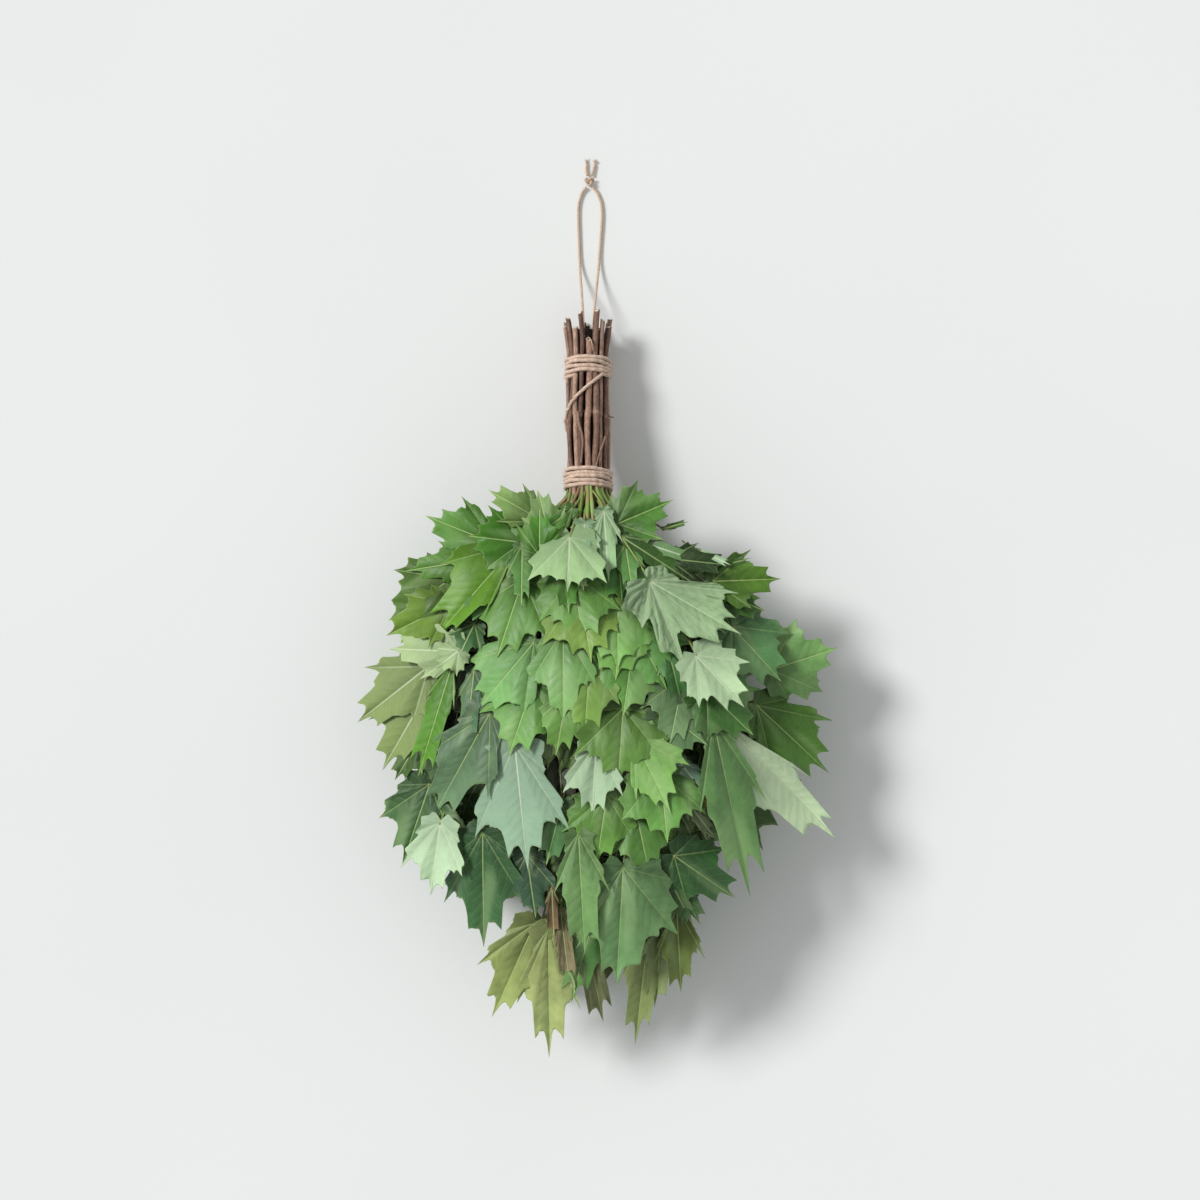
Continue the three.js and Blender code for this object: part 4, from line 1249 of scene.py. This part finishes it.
# Places where the head is open and dark between the front leaves.
HOLLOWS = np.array([
    (-113, -10), (-122, -38), (22, -126), (78, -28), (-22, -105), (-108, -122), (-40, -62),
    (42, 54), (70, 11),
])
MOST_TRIES, SMALLER, DRAWN_BACK = 9, 0.92, 0.93


def fill_leaf(parts, make_place, x, y, length, depth_shade, flip=False):
    """A leaf further in, made smaller and drawn back until it lies inside the front
    leaves' outline. It is left out where it would fill a hollow."""
    side, spread = rng.uniform(0.7, 0.95), rng.uniform(0.6, 0.9)
    for _ in range(MOST_TRIES):
        shape = leaf_shape(length, side, spread, CURLED, PLAIN_RINGS)
        place = make_place(x, y)
        top = place(*shape[:3])
        middle_of_leaf = top[:, :2].mean(axis=0)
        if top[0][2] > 60 and np.min(np.hypot(*(HOLLOWS - middle_of_leaf).T)) < 0.42 * length:
            return
        if within(top):
            add_leaf(parts, shape, place, zone_colour(x, y, depth_shade), flip)
            sink = 10 * math.copysign(1, top[0][2] - 45)
            stalk(parts, top[0], 0.8 * length, sink, "#6f8a44", 8)
            return
        length *= SMALLER
        x, y = x * DRAWN_BACK, HEAD_Y + (y - HEAD_Y) * DRAWN_BACK


def spots(spacing, reach):
    """Places spread evenly over the head, as seeds on a sunflower, out to rho = reach."""
    count = int(math.pi * HEAD_A * HEAD_B * reach**2 / spacing**2)
    for i in range(count):
        r = reach * math.sqrt((i + 0.5) / count)
        a = i * SEED_TURN + rng.normal(0, 0.1)
        yield HEAD_A * r * math.cos(a), HEAD_Y + HEAD_B * r * math.sin(a)


def away(x, y):
    """The turn of a leaf that points away from the neck."""
    return math.degrees(math.atan2(y - NECK[1], x - NECK[0])) + 90


def layer(name, spacing, reach, surface, lifts, lengths, depth_shade, flip, pull):
    """A layer of leaves over a surface, each pointing away from the neck."""
    parts = Parts()
    for x, y in spots(spacing, reach):
        if y > NECK_CLEAR_Y:
            continue
        turn = pull * away(x, y) + rng.normal(0, 16)
        lift = rng.uniform(*lifts)
        length = rng.uniform(*lengths)
        back = math.radians(turn - 90)
        x0, y0 = x - 0.45 * length * math.cos(back), y - 0.45 * length * math.sin(back)
        fill_leaf(
            parts,
            lambda px, py: laid(px, py, turn, surface, lift),
            x0,
            min(y0, NECK_CLEAR_Y),
            length,
            depth_shade,
            flip,
        )
    return piece(name, parts, LEAF_MATERIALS, "leaf", "inner_leaves")


def middle(x, y):
    """Height half-way between the two."""
    return 0.5 * (dome(x, y) + bowl(x, y))


# Each layer's leaves are darkened by its share as painted shade, the more the further in they lie.
layer("upper_leaves", 27, 0.98, dome, (-17, -8), (52, 78), 0.42, False, 0.85)
layer("lower_leaves", 34, 0.95, dome, (-36, -22), (56, 80), 0.45, False, 0.85)
layer("deep_leaves", 36, 0.88, middle, (-12, 12), (60, 80), 0.55, False, 0.9)
layer("under_leaves", 30, 0.96, bowl, (2, 11), (56, 84), 0.05, True, 0.9)

# Leaves round the rim, from the floor up to the front leaves, leaning outwards.
rim_leaves = Parts()
RIM_COUNT = 96
RIM_JOINTS = 0.74  # how far out their joints lie
for i in range(RIM_COUNT):
    a = i * SEED_TURN
    rise = (i + 0.5) / RIM_COUNT
    x, y = HEAD_A * RIM_JOINTS * math.cos(a), HEAD_Y + HEAD_B * RIM_JOINTS * math.sin(a)
    if y > RIM_CLEAR_Y:
        continue
    z = bowl(x, y) + 6 + rise * (dome(x, y) - bowl(x, y) - 16)
    outward = np.array((math.cos(a) / HEAD_A, math.sin(a) / HEAD_B, 0)) * 180
    ahead = 0.7 * outward + (0, -0.5, 0.35 - 1.1 * rise) + rng.normal(0, 0.16, 3)
    normal = 0.8 * outward + (0, 0, 1.3 * rise + 0.15) + rng.normal(0, 0.14, 3)
    normal /= np.linalg.norm(normal)
    fill_leaf(
        rim_leaves,
        lambda px, py: standing(np.array((px, py, z)), ahead, normal, 0.3 + 1.5 * rise),
        x,
        y,
        rng.uniform(56, 78),
        0.14,
    )
piece("rim_leaves", rim_leaves, LEAF_MATERIALS, "leaf", "inner_leaves")

# The twigs run on into the head and fork there.
branches = Parts()
BRANCHES = 26
for i in range(BRANCHES):
    a = i * SEED_TURN
    off_side = 12 * math.cos(a) * math.sqrt((i + 1) / BRANCHES)
    start = on_handle(TWIG_END_Y, off_side, 9 * math.sin(a))
    end_y = -40 + 130 * math.sin(a) * rng.uniform(0.6, 1)
    end = (105 * math.cos(a), end_y, 58 + 30 * math.sin(2.1 * i))
    bend = start * 0.55 + np.array(end) * 0.45 + (0, 24, 6)
    path = smooth_path([start + (0, 8, -1.6), start, bend, end], 7)
    tone = linear("#8f7a6c")
    sweep(branches, path, np.linspace(2.3, 1.0, len(path)), 7, tone, cells=True)
piece("twigs_in_head", branches, [BARK], "bark", "inner_leaves")

# Green leaf stalks and rolled leaf bases that come out of the lower binding.
neck = Parts()
NECK_STALKS = 32
for i in range(NECK_STALKS):
    a = 2 * math.pi * (i + rng.uniform(-0.4, 0.4)) / NECK_STALKS
    r = rng.uniform(15.4, 17.6)
    start = on_handle(163, -r * math.cos(a), r * math.sin(a))
    leave = on_handle(152, -1.03 * r * math.cos(a), 1.03 * r * math.sin(a))
    far_x = HANDLE_X - 52 * math.cos(a) * rng.uniform(0.55, 1.0)
    far_y = rng.uniform(102, 120)
    up = dome(far_x, far_y) - 2 if math.sin(a) > 0 else bowl(far_x, far_y) + 8
    far_z = up + (44 - up) * (1 - abs(math.sin(a))) * 0.8
    half_way = 0.5 * (leave + np.array((far_x, far_y, far_z))) + (0, 3, 5 * math.sin(a))
    path = smooth_path([start, leave, half_way, (far_x, far_y, far_z)], 2.5)
    wide = rng.uniform(0.9, 2.4)
    sizes = 0.8 + (wide - 0.8) * np.sin(np.linspace(0.3, 2.6, len(path))) ** 2
    tone = linear(["#7fa04e", "#6c9440", "#93ad62", "#8a7a56"][rng.integers(4)])
    sweep(neck, path, sizes, 8, tone, slots=(2, 2), cells=True)
piece("neck_stalks", neck, LEAF_MATERIALS, "leaf", "inner_leaves")


# ---------------------------------------------------------------- floor and light
def floor_paint():
    """Matt pale wall paint, with no pattern of its own to compete with the part."""
    made, tree, shader = fresh("matt_pale_paint")
    place = put(tree, "ShaderNodeTexCoord", out="Object")
    cloud = put(tree, "ShaderNodeTexNoise", {"Vector": place, "Scale": 2.0})
    tone = put(
        tree,
        "ShaderNodeValToRGB",
        {0: cloud},
        stops=[(0.3, "#ebeceb"), (0.7, "#eeefee")],
    )
    tree.links.new(tone, shader.inputs["Base Color"])
    shader.inputs["Roughness"].default_value = 0.95
    shader.inputs["Specular IOR Level"].default_value = 0.1
    return made


FLOOR_SIDE = 14.0
FLOOR_DROP = 0.0005  # metres, so that the floor shares no plane with what lies on it
floor_mesh = bpy.data.meshes.new("floor")
corner = FLOOR_SIDE / 2
floor_mesh.from_pydata(
    [(-corner, -corner, 0), (corner, -corner, 0), (corner, corner, 0), (-corner, corner, 0)],
    [],
    [(0, 1, 2, 3)],
)
floor_mesh.materials.append(floor_paint())
floor = bpy.data.objects.new("floor", floor_mesh)
floor.location.z = -FLOOR_DROP
bpy.context.scene.collection.objects.link(floor)

WORLD_STRENGTH = 0.48
world = bpy.data.worlds.new("studio")
world.use_nodes = True
world.node_tree.nodes["Background"].inputs["Color"].default_value = linear("#fcfffe")
world.node_tree.nodes["Background"].inputs["Strength"].default_value = WORLD_STRENGTH
bpy.context.scene.world = world

KEY_ANGLE = 17  # degrees across, as a large lamp seen from the floor
KEY_FROM = (-1.0, 0.55, 1.02)
KEY_STRENGTH = 2.43
key_lamp = bpy.data.lights.new("key", "SUN")
key_lamp.angle = math.radians(KEY_ANGLE)
key_lamp.energy = KEY_STRENGTH
key = bpy.data.objects.new("key", key_lamp)
key.rotation_euler = Vector(KEY_FROM).to_track_quat("Z", "Y").to_euler()
bpy.context.scene.collection.objects.link(key)
bpy.context.scene.view_settings.view_transform = "Standard"
